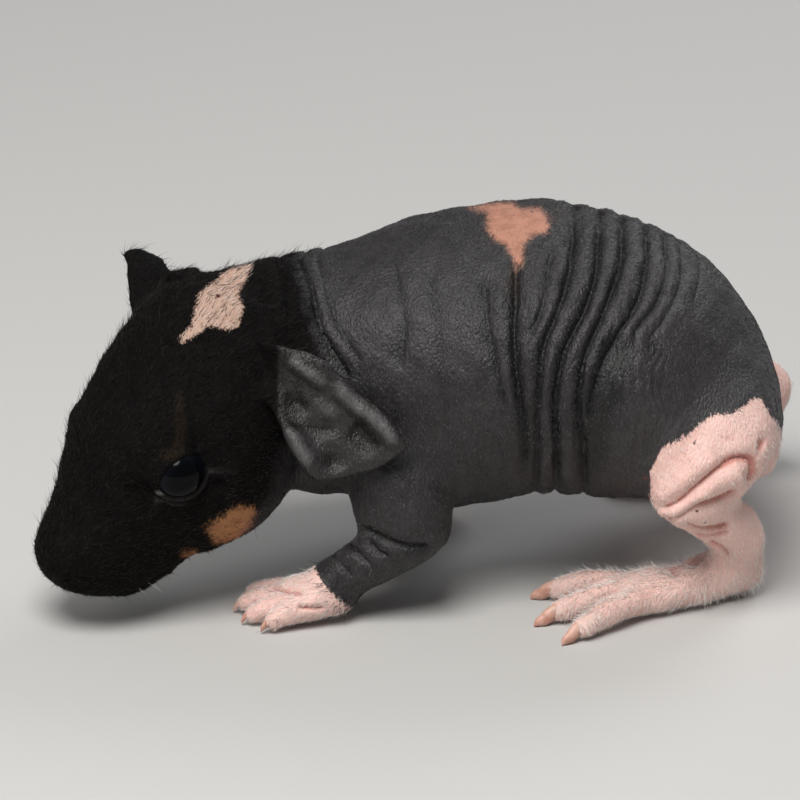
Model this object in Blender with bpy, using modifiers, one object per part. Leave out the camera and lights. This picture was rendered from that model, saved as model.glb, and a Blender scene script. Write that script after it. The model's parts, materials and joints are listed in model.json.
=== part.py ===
"""Skinny pig: a hairless guinea pig pup a few days old, life size and standing still.

The pup faces -X with its head lowered and turned to its left. Its head, neck and trunk are
one loft parted by thin cuts. Each leg has three segments, and each segment, ear, eye and claw
is cut clear of what it grows from by the same small gap. The floor is the plane z = 0.
"""

import functools
import math
from typing import NamedTuple

import bmesh
import bpy
import numpy as np
from mathutils import Matrix, Vector

# Every size below is in millimetres. MM brings a length to the scene's metres.
MM = 0.001
GAP = 0.3

# The head: its turn and tilt, and the point of its axis level with the eyes.
HEAD_YAW = 35.0
HEAD_PITCH = 43.0
EYE_STATION = Vector((-31.7, -11.4, 19.5))

# Where thin cuts part the loft: the head at a tilted plane behind the ears, the rest along X.
HEAD_CUT = Vector((-15.6, -4.0, 29.5))
HEAD_CUT_AHEAD = Vector((-0.97, -0.14, -0.2)).normalized()
TRUNK_CUTS = (-9.5, 9.0, 28.5)

# Eyes and lids.
EYE_RADIUS = 3.7
EYE_AHEAD = -0.35
EYE_ASIDE = 9.05
EYE_RISE = 3.15
LID_THICKNESS = 0.55
EYE_OPENING_LENGTH = 6.8
EYE_OPENING_WIDTH = 4.7
EYE_OPENING_TILT = 14.5
EYE_OPENING_POINTS = 16
EYE_OPENING_POWER = 1.25
EYE_OPENING_DEPTHS = (1.2, 7.7)
EYE_LOOK_AHEAD = 0.12
EYE_LOOK_UP = 0.18

# Mouth and nose: radii, and how far each middle line stands off the muzzle's skin. The places
# along the lines are how far forward of the eyes, and the angle from the right side up.
LIP_RADIUS = 1.15
LIP_OFFSET = -0.45
LIP_TAPER = (0.45, 0.8, 1.0, 1.0, 1.0, 1.0)
MOUTH_RADIUS = 0.42
MOUTH_OFFSET = 0.62
CLEFT_RADIUS = 0.38
CLEFT_OFFSET = 0.15
NOSTRIL_RADII = (0.5, 0.5, 0.3)
NOSTRIL_OFFSET = 0.1
MOUTH_LINE = ((9.0, -38.0), (11.0, -36.0), (13.4, -39.0), (15.6, -48.0), (16.9, -66.0), (17.4, -90.0))
CLEFT_LINE = ((17.4, -90.0), (18.3, -90.0), (19.1, -90.0))
NOSTRIL_LINE = ((19.1, 8.0), (18.6, 20.0), (17.9, 34.0))

# Ears: a thin curved leaf.
EAR_THICKNESS = 0.95
EAR_END_BULGE = 2.4
EAR_FLATTENING = 0.45

# Claws.
FORE_CLAW_LENGTH = 2.0
FORE_CLAW_RADIUS = 0.5
HIND_CLAW_LENGTH = 3.9
HIND_CLAW_RADIUS = 0.75
CLAW_CURVE = 38.0
CLAW_STEPS = 5
CLAW_TAPER = 0.78
CLAW_TAPER_POWER = 1.4
CLAW_RISE = 0.25
CLAW_OVER_FLOOR = 0.05

# A toe's profile: share of its reach, share of the toe's height, share of its radius.
TOE_PROFILE = ((0.0, 1.0, 1.0), (0.4, 0.95, 1.0), (0.75, 0.66, 0.95), (0.94, 0.44, 0.82))

# How finely the round forms are divided.
BODY_SIDES = 32
LIMB_SIDES = 14
TOE_SIDES = 8
EAR_SPANS = 8
RINGS_A_SPAN = 2
CAP_ANGLES = (0.6, 1.2)
WELD = 0.001
SHARP_ANGLE = 50.0

DARK_SKIN = (0.045, 0.04, 0.043, 1.0)
DARKER_SKIN = (0.02, 0.018, 0.018, 1.0)
PINK_SKIN = (0.68, 0.36, 0.3, 1.0)
EYE_BLACK = (0.008, 0.008, 0.012, 1.0)
CLAW_PINK = (0.55, 0.27, 0.2, 1.0)


class Section(NamedTuple):
    """One cross section: its centre, its half width along side, and its reach up and down."""

    centre: Vector
    side: Vector
    up: Vector
    width: float
    top: float
    bottom: float
    power: float = 2.0


def head_axes():
    """The head's own directions: forward to the nose, to its right, and up to the crown."""
    yaw = math.radians(HEAD_YAW)
    pitch = math.radians(HEAD_PITCH)
    level = math.cos(pitch)
    forward = Vector((-level * math.cos(yaw), -level * math.sin(yaw), -math.sin(pitch)))
    right = Vector((-math.sin(yaw), math.cos(yaw), 0.0))
    return forward, right, right.cross(forward)


FORWARD, RIGHT, CROWN = head_axes()


def on_head(forward, right, up):
    """A point given along the head's own directions, from the eye station."""
    return EYE_STATION + FORWARD * forward + RIGHT * right + CROWN * up


def head_section(forward, lift, width, top, bottom, power=2.0):
    return Section(on_head(forward, 0.0, lift), RIGHT, CROWN, width, top, bottom, power)


def trunk_section(x, y, z, width, height):
    return Section(Vector((x, y, z)), Vector((0, 1, 0)), Vector((0, 0, 1)), width, height, height)


def between(first, second, share, centre, width, top, bottom):
    """A section that is turned part of the way from one section to another."""
    side = first.side.lerp(second.side, share).normalized()
    up = first.up.lerp(second.up, share)
    up = (up - side * up.dot(side)).normalized()
    return Section(Vector(centre), side, up, width, top, bottom)


def body_sections():
    """The sections of head, neck and trunk, from the nose to the rump."""
    head = [
        head_section(19.9, 1.2, 0.1, 0.1, 0.1),
        head_section(19.4, 1.1, 2.3, 2.2, 2.0, 2.2),
        head_section(18.4, 0.8, 4.1, 3.4, 3.9, 2.3),
        head_section(16.2, -0.2, 6.3, 5.7, 6.3, 2.3),
        head_section(13.6, -1.1, 7.6, 7.1, 7.9, 2.2),
        head_section(10.0, -1.3, 8.6, 8.6, 9.3, 2.1),
        head_section(6.0, -1.6, 10.2, 11.2, 10.5),
        head_section(0.0, -2.4, 13.5, 14.0, 12.8),
        head_section(-5.0, -1.8, 14.6, 13.8, 14.8),
        head_section(-9.5, -1.5, 14.4, 14.2, 14.6),
    ]
    trunk = [
        trunk_section(-11.0, -0.6, 29.5, 14.0, 14.2),
        trunk_section(-7.4, 0.0, 28.2, 15.6, 15.8),
        trunk_section(0.0, 0.4, 28.5, 18.0, 18.5),
        trunk_section(9.0, 0.4, 29.7, 19.5, 19.1),
        trunk_section(18.0, 0.2, 31.0, 21.0, 18.5),
        trunk_section(25.6, 0.2, 30.2, 21.5, 18.0),
        trunk_section(32.7, 0.4, 28.8, 19.8, 17.0),
        trunk_section(39.2, 0.8, 27.0, 16.8, 14.6),
        trunk_section(43.0, 1.0, 25.1, 14.2, 12.3),
        trunk_section(46.5, 1.2, 22.4, 10.6, 8.7),
        trunk_section(48.6, 1.2, 20.8, 6.6, 4.6),
        trunk_section(49.3, 1.2, 20.4, 0.1, 0.1),
    ]
    nape = between(head[-1], trunk[0], 0.32, (-21.2, -4.6, 28.6), 14.0, 15.7, 13.9)
    neck = between(head[-1], trunk[0], 0.62, (-17.2, -2.9, 29.6), 13.5, 13.3, 13.9)
    return head + [nape, neck] + trunk


def as_row(section):
    sizes = (section.width, section.top, section.bottom, section.power)
    return np.array([*section.centre, *section.side, *section.up, *sizes])


def smooth_rows(keys, spans):
    """Rows read from a smooth curve through the key rows, so many to each span."""
    keys = np.asarray(keys, float)
    steps = np.linalg.norm(np.diff(keys[:, :3], axis=0), axis=1)
    at = np.concatenate([[0.0], np.cumsum(steps)])
    slopes = np.gradient(keys, at, axis=0)
    rows = []
    for i, step in enumerate(steps):
        for part in range(spans):
            t = part / spans
            rows.append(
                (2 * t**3 - 3 * t**2 + 1) * keys[i]
                + (t**3 - 2 * t**2 + t) * step * slopes[i]
                + (3 * t**2 - 2 * t**3) * keys[i + 1]
                + (t**3 - t**2) * step * slopes[i + 1]
            )
    return rows + [keys[-1]]


def signed_power(value, power):
    return math.copysign(abs(value) ** power, value)


def point_of(row, angle):
    """The point of a section's outline at this angle, from its side towards its top."""
    centre, side, up = Vector(row[0:3]), Vector(row[3:6]).normalized(), Vector(row[6:9]).normalized()
    width, top, bottom, power = row[9:13]
    across = signed_power(math.cos(angle), 2.0 / power) * width
    reach = top if math.sin(angle) > 0.0 else bottom
    return centre + side * across + up * signed_power(math.sin(angle), 2.0 / power) * reach


def ring_of(row, sides):
    return [point_of(row, 2.0 * math.pi * i / sides) for i in range(sides)]


def mesh_object(name, points, faces):
    """An object from points in millimetres, with its faces turned outwards."""
    mesh = bpy.data.meshes.new(name)
    mesh.from_pydata([Vector(p) * MM for p in points], [], faces)
    shape = bmesh.new()
    shape.from_mesh(mesh)
    bmesh.ops.recalc_face_normals(shape, faces=shape.faces)
    shape.to_mesh(mesh)
    shape.free()
    obj = bpy.data.objects.new(name, mesh)
    bpy.context.scene.collection.objects.link(obj)
    return obj


def loft(name, rings):
    """A closed solid through the rings, with a pole at the middle of its first and last ring."""
    sides = len(rings[0])
    points = [p for ring in rings for p in ring]
    faces = []
    for row in range(len(rings) - 1):
        for i in range(sides):
            j = (i + 1) % sides
            faces.append((row * sides + i, row * sides + j, (row + 1) * sides + j, (row + 1) * sides + i))
    last = (len(rings) - 1) * sides
    for start in (0, last):
        pole = len(points)
        ring = points[start : start + sides]
        points.append(sum((Vector(p) for p in ring), Vector()) / sides)
        faces += [(start + i, start + (i + 1) % sides, pole) for i in range(sides)]
    return mesh_object(name, points, faces)


def limb(name, keys, hint, sides=LIMB_SIDES, spans=RINGS_A_SPAN):
    """A rounded limb: keys are x, y, z, half width along the hint, and half depth across it."""
    rows = [np.asarray(row) for row in smooth_rows(keys, spans)]
    centres = [Vector(row[:3]) for row in rows]
    hint = Vector(hint)
    rings = []
    for i, row in enumerate(rows):
        along = (centres[min(i + 1, len(rows) - 1)] - centres[max(i - 1, 0)]).normalized()
        side = (hint - along * hint.dot(along)).normalized()
        up = along.cross(side)
        ends = []
        if i == 0:
            ends = [(-math.sin(a), math.cos(a)) for a in CAP_ANGLES[::-1]]
        if i == len(rows) - 1:
            ends = [(math.sin(a), math.cos(a)) for a in CAP_ANGLES]
        cap = min(row[3], row[4])
        capped = [(centres[i] + along * cap * out, scale) for out, scale in ends]
        plain = [(centres[i], 1.0)]
        for centre, scale in capped + plain if i == 0 else plain + capped:
            section = Section(centre, side, up, row[3] * scale, row[4] * scale, row[4] * scale)
            rings.append(ring_of(as_row(section), sides))
    return loft(name, rings)


def tube(name, points, radii, roundness=2):
    """A closed tube along the points, made from a bevelled curve with filled caps."""
    curve = bpy.data.curves.new(name, "CURVE")
    curve.dimensions = "3D"
    curve.bevel_depth = MM
    curve.bevel_resolution = roundness
    curve.use_fill_caps = True
    spline = curve.splines.new("POLY")
    spline.points.add(len(points) - 1)
    for spot, point, radius in zip(spline.points, points, radii):
        spot.co = (*(Vector(point) * MM), 1.0)
        spot.radius = radius
    drawn = bpy.data.objects.new(name, curve)
    bpy.context.scene.collection.objects.link(drawn)
    mesh = bpy.data.meshes.new_from_object(drawn.evaluated_get(bpy.context.evaluated_depsgraph_get()))
    bpy.data.objects.remove(drawn)
    shape = bmesh.new()
    shape.from_mesh(mesh)
    bmesh.ops.remove_doubles(shape, verts=shape.verts, dist=MM * WELD)
    bmesh.ops.recalc_face_normals(shape, faces=shape.faces)
    shape.to_mesh(mesh)
    shape.free()
    obj = bpy.data.objects.new(name, mesh)
    bpy.context.scene.collection.objects.link(obj)
    return obj


def ball(name, centre, radius, segments=16, rings=10):
    bpy.ops.mesh.primitive_uv_sphere_add(
        segments=segments, ring_count=rings, radius=radius * MM, location=Vector(centre) * MM
    )
    obj = bpy.context.active_object
    obj.name = name
    obj.data.transform(obj.matrix_world)
    obj.matrix_world = Matrix.Identity(4)
    return obj


def keep_largest(mesh):
    """Leaves only the largest closed surface of a mesh."""
    shape = bmesh.new()
    shape.from_mesh(mesh)
    bmesh.ops.remove_doubles(shape, verts=shape.verts, dist=MM * WELD)
    bmesh.ops.dissolve_degenerate(shape, edges=shape.edges, dist=MM * WELD)
    unseen = set(shape.faces)
    pieces = []
    while unseen:
        piece = set()
        edge = [unseen.pop()]
        while edge:
            face = edge.pop()
            piece.add(face)
            near = {f for e in face.edges for f in e.link_faces} & unseen
            unseen -= near
            edge += near
        pieces.append(piece)
    pieces.sort(key=lambda piece: sum(f.calc_area() for f in piece))
    for piece in pieces[:-1]:
        bmesh.ops.delete(shape, geom=list(piece), context="FACES")
    shape.to_mesh(mesh)
    shape.free()


def apply_modifiers(obj):
    mesh = bpy.data.meshes.new_from_object(obj.evaluated_get(bpy.context.evaluated_depsgraph_get()))
    obj.modifiers.clear()
    obj.data = mesh
    keep_largest(obj.data)


def carve(obj, cutter, keep_cutter=False, solver="EXACT"):
    """Cuts one solid out of another."""
    cut = obj.modifiers.new("cut", "BOOLEAN")
    cut.operation = "DIFFERENCE"
    cut.solver = solver
    cut.object = cutter
    apply_modifiers(obj)
    if not keep_cutter:
        bpy.data.objects.remove(cutter)
    return obj


def fuse(obj, pieces):
    """Joins closed solids into the first one."""
    group = bpy.data.collections.new("joined")
    bpy.context.scene.collection.children.link(group)
    for piece in pieces:
        group.objects.link(piece)
    join = obj.modifiers.new("join", "BOOLEAN")
    join.operation = "UNION"
    join.operand_type = "COLLECTION"
    join.solver = "EXACT"
    join.collection = group
    apply_modifiers(obj)
    for piece in pieces:
        bpy.data.objects.remove(piece)
    bpy.data.collections.remove(group)
    return obj


def grown(obj, distance=GAP):
    """A copy of a solid whose surface stands outside it by the gap."""
    shape = bmesh.new()
    shape.from_mesh(obj.data)
    shape.normal_update()
    outward = [(vert, vert.normal.copy()) for vert in shape.verts]
    for vert, normal in outward:
        vert.co += normal * distance * MM
    mesh = bpy.data.meshes.new(obj.name + "_grown")
    shape.to_mesh(mesh)
    shape.free()
    copy = bpy.data.objects.new(mesh.name, mesh)
    bpy.context.scene.collection.objects.link(copy)
    return copy


def part_of(obj, name, planes):
    """A copy of a solid cut off at each plane, which is a point and the way that is kept."""
    shape = bmesh.new()
    shape.from_mesh(obj.data)
    for point, inward in planes:
        cut = bmesh.ops.bisect_plane(
            shape,
            geom=shape.verts[:] + shape.edges[:] + shape.faces[:],
            plane_co=Vector(point) * MM,
            plane_no=Vector(inward),
            clear_inner=True,
        )
        rim = [item for item in cut["geom_cut"] if isinstance(item, bmesh.types.BMEdge)]
        bmesh.ops.edgeloop_fill(shape, edges=rim)
    bmesh.ops.recalc_face_normals(shape, faces=shape.faces)
    mesh = bpy.data.meshes.new(name)
    shape.to_mesh(mesh)
    shape.free()
    piece = bpy.data.objects.new(name, mesh)
    bpy.context.scene.collection.objects.link(piece)
    return piece


@functools.cache
def rows_of_body():
    return smooth_rows([as_row(section) for section in body_sections()], RINGS_A_SPAN)


def muzzle_point(forward, angle, out=0.0):
    """A point on the muzzle's skin: how far forward, and the angle from its right side up."""
    rows = rows_of_body()
    ahead = [(Vector(row[:3]) - EYE_STATION).dot(FORWARD) for row in rows]
    i = next(k for k in range(1, len(rows)) if ahead[k] <= forward)
    share = (ahead[i - 1] - forward) / (ahead[i - 1] - ahead[i])
    row = rows[i - 1] * (1.0 - share) + rows[i] * share
    point = point_of(row, math.radians(angle))
    away = (point - Vector(row[:3])).normalized()
    return point + away * out


def mirrored(angle):
    return 180.0 - angle


def mouth_path(out):
    half = [muzzle_point(forward, angle, out) for forward, angle in MOUTH_LINE]
    other = [muzzle_point(forward, mirrored(angle), out) for forward, angle in MOUTH_LINE[:-1]]
    return half + other[::-1]


def shape_mouth(head):
    """Lips as a bead round the mouth, split by its line, with the cleft above it."""
    radii = [LIP_RADIUS * share for share in LIP_TAPER + LIP_TAPER[-2::-1]]
    fuse(head, [tube("lips", mouth_path(LIP_OFFSET), radii)])
    line = mouth_path(MOUTH_OFFSET)
    carve(head, tube("mouth_line", line, [MOUTH_RADIUS] * len(line)))
    cleft = [muzzle_point(forward, angle, CLEFT_OFFSET) for forward, angle in CLEFT_LINE]
    carve(head, tube("cleft", cleft, [CLEFT_RADIUS] * len(cleft)))
    for turn in (lambda angle: angle, mirrored):
        path = [muzzle_point(forward, turn(angle), NOSTRIL_OFFSET) for forward, angle in NOSTRIL_LINE]
        carve(head, tube("nostril", path, NOSTRIL_RADII))


def eye_centre(side):
    return on_head(EYE_AHEAD, EYE_ASIDE * side, EYE_RISE)


def eye_opening(side):
    """The almond between the lids, as a cutter that runs outwards from the eye's centre."""
    out = (RIGHT * side + FORWARD * EYE_LOOK_AHEAD + CROWN * EYE_LOOK_UP).normalized()
    tilt = math.radians(EYE_OPENING_TILT)
    along = FORWARD * math.cos(tilt) + CROWN * math.sin(tilt)
    along = (along - out * along.dot(out)).normalized()
    across = out.cross(along)
    rings = []
    for depth in EYE_OPENING_DEPTHS:
        ring = []
        for i in range(EYE_OPENING_POINTS):
            angle = 2.0 * math.pi * i / EYE_OPENING_POINTS
            length = math.cos(angle) * EYE_OPENING_LENGTH / 2.0
            width = signed_power(math.sin(angle), EYE_OPENING_POWER) * EYE_OPENING_WIDTH / 2.0
            ring.append(eye_centre(side) + out * depth + along * length + across * width)
        rings.append(ring)
    return loft("opening", rings)


def shape_eyes(head):
    """Lids as a thin shell over each eye, open as an almond, with the socket behind."""
    for side in (-1, 1):
        lid = ball("lid", eye_centre(side), EYE_RADIUS + GAP + LID_THICKNESS)
        fuse(head, [lid])
    for side in (-1, 1):
        socket = ball("socket", eye_centre(side), EYE_RADIUS + GAP)
        carve(head, fuse(socket, [eye_opening(side)]))
    for side, name in ((-1, "eye_left"), (1, "eye_right")):
        ball(name, eye_centre(side), EYE_RADIUS)


def make_ear(name, shape):
    """A cupped leaf between two edges that run from its root to its end."""
    inner = Vector(shape.inner).normalized()
    edges = zip(smooth_rows(shape.back_edge, RINGS_A_SPAN), smooth_rows(shape.front_edge, RINGS_A_SPAN))
    lines = [(Vector(back[:3]), Vector(front[:3])) for back, front in edges]
    points = []
    for i, (back, front) in enumerate(lines):
        ahead = min(i + 1, len(lines) - 1)
        along = (sum(lines[ahead], Vector()) - sum(lines[ahead - 1], Vector())).normalized()
        share = i / (len(lines) - 1)
        for j in range(EAR_SPANS + 1):
            hump = math.sin(math.pi * j / EAR_SPANS)
            depth = shape.cup * hump * (1.0 - EAR_FLATTENING * share)
            bulge = EAR_END_BULGE * hump * share**3
            points.append(back.lerp(front, j / EAR_SPANS) - inner * depth + along * bulge)
    row = EAR_SPANS + 1
    faces = [
        (i * row + j, i * row + j + 1, (i + 1) * row + j + 1, (i + 1) * row + j)
        for i in range(len(lines) - 1)
        for j in range(EAR_SPANS)
    ]
    leaf = mesh_object(name, points, faces)
    shell = leaf.modifiers.new("thickness", "SOLIDIFY")
    shell.thickness = EAR_THICKNESS * MM
    shell.offset = 0.0
    apply_modifiers(leaf)
    return leaf


class Ear(NamedTuple):
    """An ear: its two edges from root to end, the depth of its cup, and the way that its cup faces."""

    back_edge: list
    front_edge: list
    cup: float
    inner: tuple


# The left ear droops back over the shoulder, and the right one arches up and falls outwards.
EARS = {
    "left": Ear(
        [
            (-20.6, -12.8, 37.6),
            (-16.4, -16.2, 38.0),
            (-10.6, -18.6, 37.2),
            (-5.4, -19.0, 32.8),
            (-1.2, -20.4, 29.6),
            (1.2, -21.4, 25.9),
        ],
        [
            (-21.4, -14.6, 31.6),
            (-17.6, -18.3, 31.2),
            (-14.8, -20.2, 28.4),
            (-13.2, -21.2, 26.2),
            (-11.8, -21.8, 24.0),
            (-10.4, -22.2, 22.3),
        ],
        1.7,
        (-0.1, -0.93, 0.3),
    ),
    "right": Ear(
        [
            (-27.4, -0.4, 35.0),
            (-28.8, 3.6, 38.9),
            (-29.7, 6.4, 40.1),
            (-26.6, 10.2, 36.2),
            (-23.8, 13.2, 32.2),
            (-23.4, 14.4, 29.0),
        ],
        [
            (-33.8, -1.4, 33.6),
            (-35.0, 2.8, 39.4),
            (-35.4, 5.6, 41.8),
            (-35.0, 9.4, 38.4),
            (-34.0, 12.6, 33.6),
            (-33.0, 14.4, 30.2),
        ],
        -1.4,
        (-0.5, 0.5, 0.7),
    ),
}


class Leg(NamedTuple):
    """A leg's rows of x, y, z, half width and half depth, and the way that its width runs."""

    upper: list
    lower: list
    hint: tuple


FORELEGS = {
    "left": Leg(
        [
            (-3.0, -10.5, 26.0, 6.6, 5.6),
            (-0.6, -14.2, 20.6, 6.9, 5.4),
            (1.6, -16.6, 15.4, 5.6, 4.8),
            (2.6, -17.0, 13.2, 4.2, 4.2),
        ],
        [
            (2.2, -17.0, 12.4, 3.9, 4.0),
            (-2.4, -16.4, 9.2, 3.7, 3.6),
            (-6.4, -15.8, 6.5, 3.4, 3.2),
            (-9.6, -15.5, 4.6, 3.5, 2.8),
        ],
        (1.0, 0.0, 0.2),
    ),
    "right": Leg(
        [
            (-2.0, 10.5, 26.0, 6.6, 5.6),
            (1.6, 14.6, 20.4, 6.6, 5.2),
            (6.2, 17.0, 15.4, 5.2, 4.6),
            (9.0, 17.8, 13.0, 4.2, 4.2),
        ],
        [
            (9.2, 17.8, 12.6, 3.9, 3.9),
            (9.2, 18.2, 8.8, 3.6, 3.4),
            (7.8, 18.4, 5.9, 3.3, 3.1),
            (6.3, 18.4, 4.4, 3.3, 2.8),
        ],
        (1.0, 0.0, 0.2),
    ),
}
HINDLEGS = {
    "left": Leg(
        [
            (38.6, -7.6, 27.0, 9.4, 7.4),
            (38.2, -12.4, 23.4, 9.8, 7.8),
            (36.4, -15.6, 19.6, 7.8, 6.2),
            (34.5, -17.4, 16.6, 4.9, 4.6),
        ],
        [
            (34.8, -17.0, 15.6, 4.2, 4.4),
            (38.8, -13.6, 12.4, 4.1, 4.3),
            (42.4, -10.2, 8.6, 3.9, 3.9),
            (43.2, -8.8, 6.2, 3.7, 3.8),
        ],
        (1.0, 0.0, 0.3),
    ),
    "right": Leg(
        [
            (38.6, 8.4, 26.6, 9.4, 7.4),
            (38.0, 14.0, 23.2, 9.4, 7.6),
            (36.2, 18.8, 19.8, 7.2, 5.8),
            (34.9, 21.8, 17.6, 4.9, 4.6),
        ],
        [
            (35.2, 22.4, 17.0, 4.4, 4.4),
            (41.0, 24.8, 16.2, 4.3, 4.0),
            (46.6, 27.2, 15.4, 3.9, 3.6),
            (49.2, 28.2, 14.4, 3.6, 3.5),
        ],
        (0.6, 0.0, 0.8),
    ),
}


class Foot(NamedTuple):
    """A foot: its sole's rows, its heading, where its toes start, the toes, their radius and height.

    Each toe is its reach, how far it is turned aside in degrees, and how far aside it starts.
    """

    sole: list
    heading: float
    root: tuple
    toes: list
    toe_radius: float
    toe_height: float


FOREFEET = {
    "left": Foot(
        [
            (-8.0, -15.9, 4.2, 3.6, 3.4),
            (-11.4, -15.7, 3.1, 4.9, 3.0),
            (-14.4, -15.6, 2.2, 4.9, 2.4),
        ],
        184.0,
        (-12.8, -15.4),
        [(6.0, -12.0, -3.4), (7.2, -3.0, -1.2), (6.4, 8.0, 1.2), (4.2, 20.0, 3.3)],
        1.4,
        2.3,
    ),
    "right": Foot(
        [
            (6.5, 18.4, 4.4, 3.1, 2.9),
            (3.7, 18.4, 2.6, 4.1, 2.4),
            (1.9, 18.4, 1.7, 4.4, 1.9),
        ],
        180.0,
        (3.1, 18.4),
        [(4.2, -20.0, -3.3), (5.2, -7.0, -1.2), (5.0, 4.0, 1.2), (4.2, 14.0, 3.3)],
        1.25,
        2.0,
    ),
}
HINDFEET = {
    "left": Foot(
        [
            (43.6, -7.8, 3.8, 3.5, 3.4),
            (38.6, -9.6, 2.7, 3.9, 2.9),
            (33.0, -11.8, 2.3, 4.6, 2.6),
            (28.4, -13.6, 2.0, 5.1, 2.3),
        ],
        200.0,
        (29.6, -13.1),
        [(8.8, -22.0, -3.1), (10.8, 3.0, 0.2), (10.4, 20.0, 3.1)],
        1.65,
        2.4,
    ),
    "right": Foot(
        [
            (49.2, 28.2, 13.4, 3.3, 3.3),
            (46.6, 29.2, 9.4, 3.4, 2.9),
            (43.0, 30.4, 4.8, 4.0, 2.6),
            (39.6, 31.2, 2.0, 4.6, 2.3),
        ],
        172.0,
        (40.6, 31.0),
        [(10.2, 22.0, 3.0), (11.0, 2.0, 0.2), (10.2, -18.0, -3.0)],
        1.65,
        2.4,
    ),
}


def toe_rows(foot, reach, spread, aside):
    """A toe's rows: from inside the foot, over its knuckle and down to its pad."""
    heading = math.radians(foot.heading)
    turned = math.radians(foot.heading + spread)
    out = Vector((math.cos(heading + math.pi / 2.0), math.sin(heading + math.pi / 2.0)))
    ahead = Vector((math.cos(turned), math.sin(turned)))
    start = Vector(foot.root) + out * aside
    rows = []
    for share, height, size in TOE_PROFILE:
        spot = start + ahead * reach * share
        radius = foot.toe_radius * size
        rows.append((spot.x, spot.y, foot.toe_height * height, radius, radius))
    return rows, ahead


def make_claw(name, rows, ahead, length, radius, toe):
    """A claw that leaves the end of its toe and curves down to the floor."""
    x, y, z = rows[-1][:3]
    point = Vector((x, y, z + CLAW_RISE))
    points, radii = [point], [radius]
    stride = (length + rows[-1][3]) / CLAW_STEPS
    for step in range(1, CLAW_STEPS + 1):
        fall = math.radians(CLAW_CURVE * step / CLAW_STEPS)
        level = math.cos(fall)
        point = point + Vector((ahead.x * level, ahead.y * level, -math.sin(fall))) * stride
        thickness = radius * (1.0 - (step / CLAW_STEPS) ** CLAW_TAPER_POWER * CLAW_TAPER)
        points.append(Vector((point.x, point.y, max(point.z, thickness + CLAW_OVER_FLOOR))))
        radii.append(thickness)
    claw = tube(name, points, radii, 1)
    carve(claw, grown(toe), solver="MANIFOLD")
    return claw


def make_foot(name, foot, hint, claw_name, claw_length, claw_radius):
    """A foot with its toes, cut flat where it stands, and its claws."""
    sole = limb(name, foot.sole, hint)
    toes = []
    for i, (reach, spread, aside) in enumerate(foot.toes):
        rows, ahead = toe_rows(foot, reach, spread, aside)
        toe = limb(f"toe_{i}", rows, (-ahead.y, ahead.x, 0.0), TOE_SIDES, 1)
        make_claw(f"{claw_name}_{i + 1}", rows, ahead, claw_length, claw_radius, toe)
        toes.append(toe)
    fuse(sole, toes)
    flat = part_of(sole, name + "_flat", [((0.0, 0.0, 0.0), (0.0, 0.0, 1.0))])
    sole.data = flat.data
    bpy.data.objects.remove(flat)
    return sole


def make_leg(side, leg, foot, names, claws, body):
    """A leg of three segments, each cut clear of the one above it and of the body."""
    upper = limb(f"{names[0]}_{side}", leg.upper, leg.hint)
    lower = limb(f"{names[1]}_{side}", leg.lower, leg.hint)
    around = grown(body)
    carve(lower, around, keep_cutter=True)
    carve(lower, grown(upper))
    end = make_foot(f"{names[2]}_{side}", foot, (0.0, 1.0, 0.0), f"{claws[0]}_{side}", claws[1], claws[2])
    carve(end, grown(lower))
    carve(upper, around)
    return upper


def part_body(body):
    """Head, neck and three lengths of trunk, parted by cuts as wide as the gap."""
    ahead = Vector((-1.0, 0.0, 0.0))
    cuts = [(HEAD_CUT, HEAD_CUT_AHEAD)] + [(Vector((x, 0.0, 0.0)), ahead) for x in TRUNK_CUTS]
    keep_ahead = [(point + way * GAP / 2.0, way) for point, way in cuts]
    keep_behind = [(point - way * GAP / 2.0, -way) for point, way in cuts]
    planes = {
        "head": [keep_ahead[0], keep_ahead[1]],
        "neck": [keep_behind[0], keep_ahead[1]],
        "shoulders": [keep_behind[1], keep_ahead[2]],
        "flank": [keep_behind[2], keep_ahead[3]],
        "rump": [keep_behind[3]],
    }
    return {name: part_of(body, name, cut) for name, cut in planes.items()}


def dress(obj, colour, roughness):
    finish = bpy.data.materials.new(obj.name)
    finish.use_nodes = True
    shader = finish.node_tree.nodes["Principled BSDF"]
    shader.inputs["Base Color"].default_value = colour
    shader.inputs["Roughness"].default_value = roughness
    shader.inputs["Metallic"].default_value = 0.0
    obj.data.materials.clear()
    obj.data.materials.append(finish)
    obj.data.shade_smooth()
    obj.data.set_sharp_from_angle(angle=math.radians(SHARP_ANGLE))


def finish_of(name):
    if name.startswith("eye"):
        return EYE_BLACK, 0.12
    if "claw" in name:
        return CLAW_PINK, 0.35
    if "foot" in name or name.startswith("shank"):
        return PINK_SKIN, 0.55
    if name.startswith(("head", "ear")):
        return DARKER_SKIN, 0.6
    return DARK_SKIN, 0.5


def gather(name):
    """Puts every solid in one collection, under an empty that centres the pup on the floor."""
    solids = [obj for obj in bpy.data.objects if obj.type == "MESH"]
    group = bpy.data.collections.new(name)
    bpy.context.scene.collection.children.link(group)
    corners = np.array([vert.co for obj in solids for vert in obj.data.vertices])
    middle = (corners.min(axis=0) + corners.max(axis=0)) / 2.0
    stand = bpy.data.objects.new(name + "_origin", None)
    stand.location = (-middle[0], -middle[1], 0.0)
    group.objects.link(stand)
    for obj in solids:
        for old in list(obj.users_collection):
            old.objects.unlink(obj)
        group.objects.link(obj)
        obj.parent = stand
        dress(obj, *finish_of(obj.name))


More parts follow.
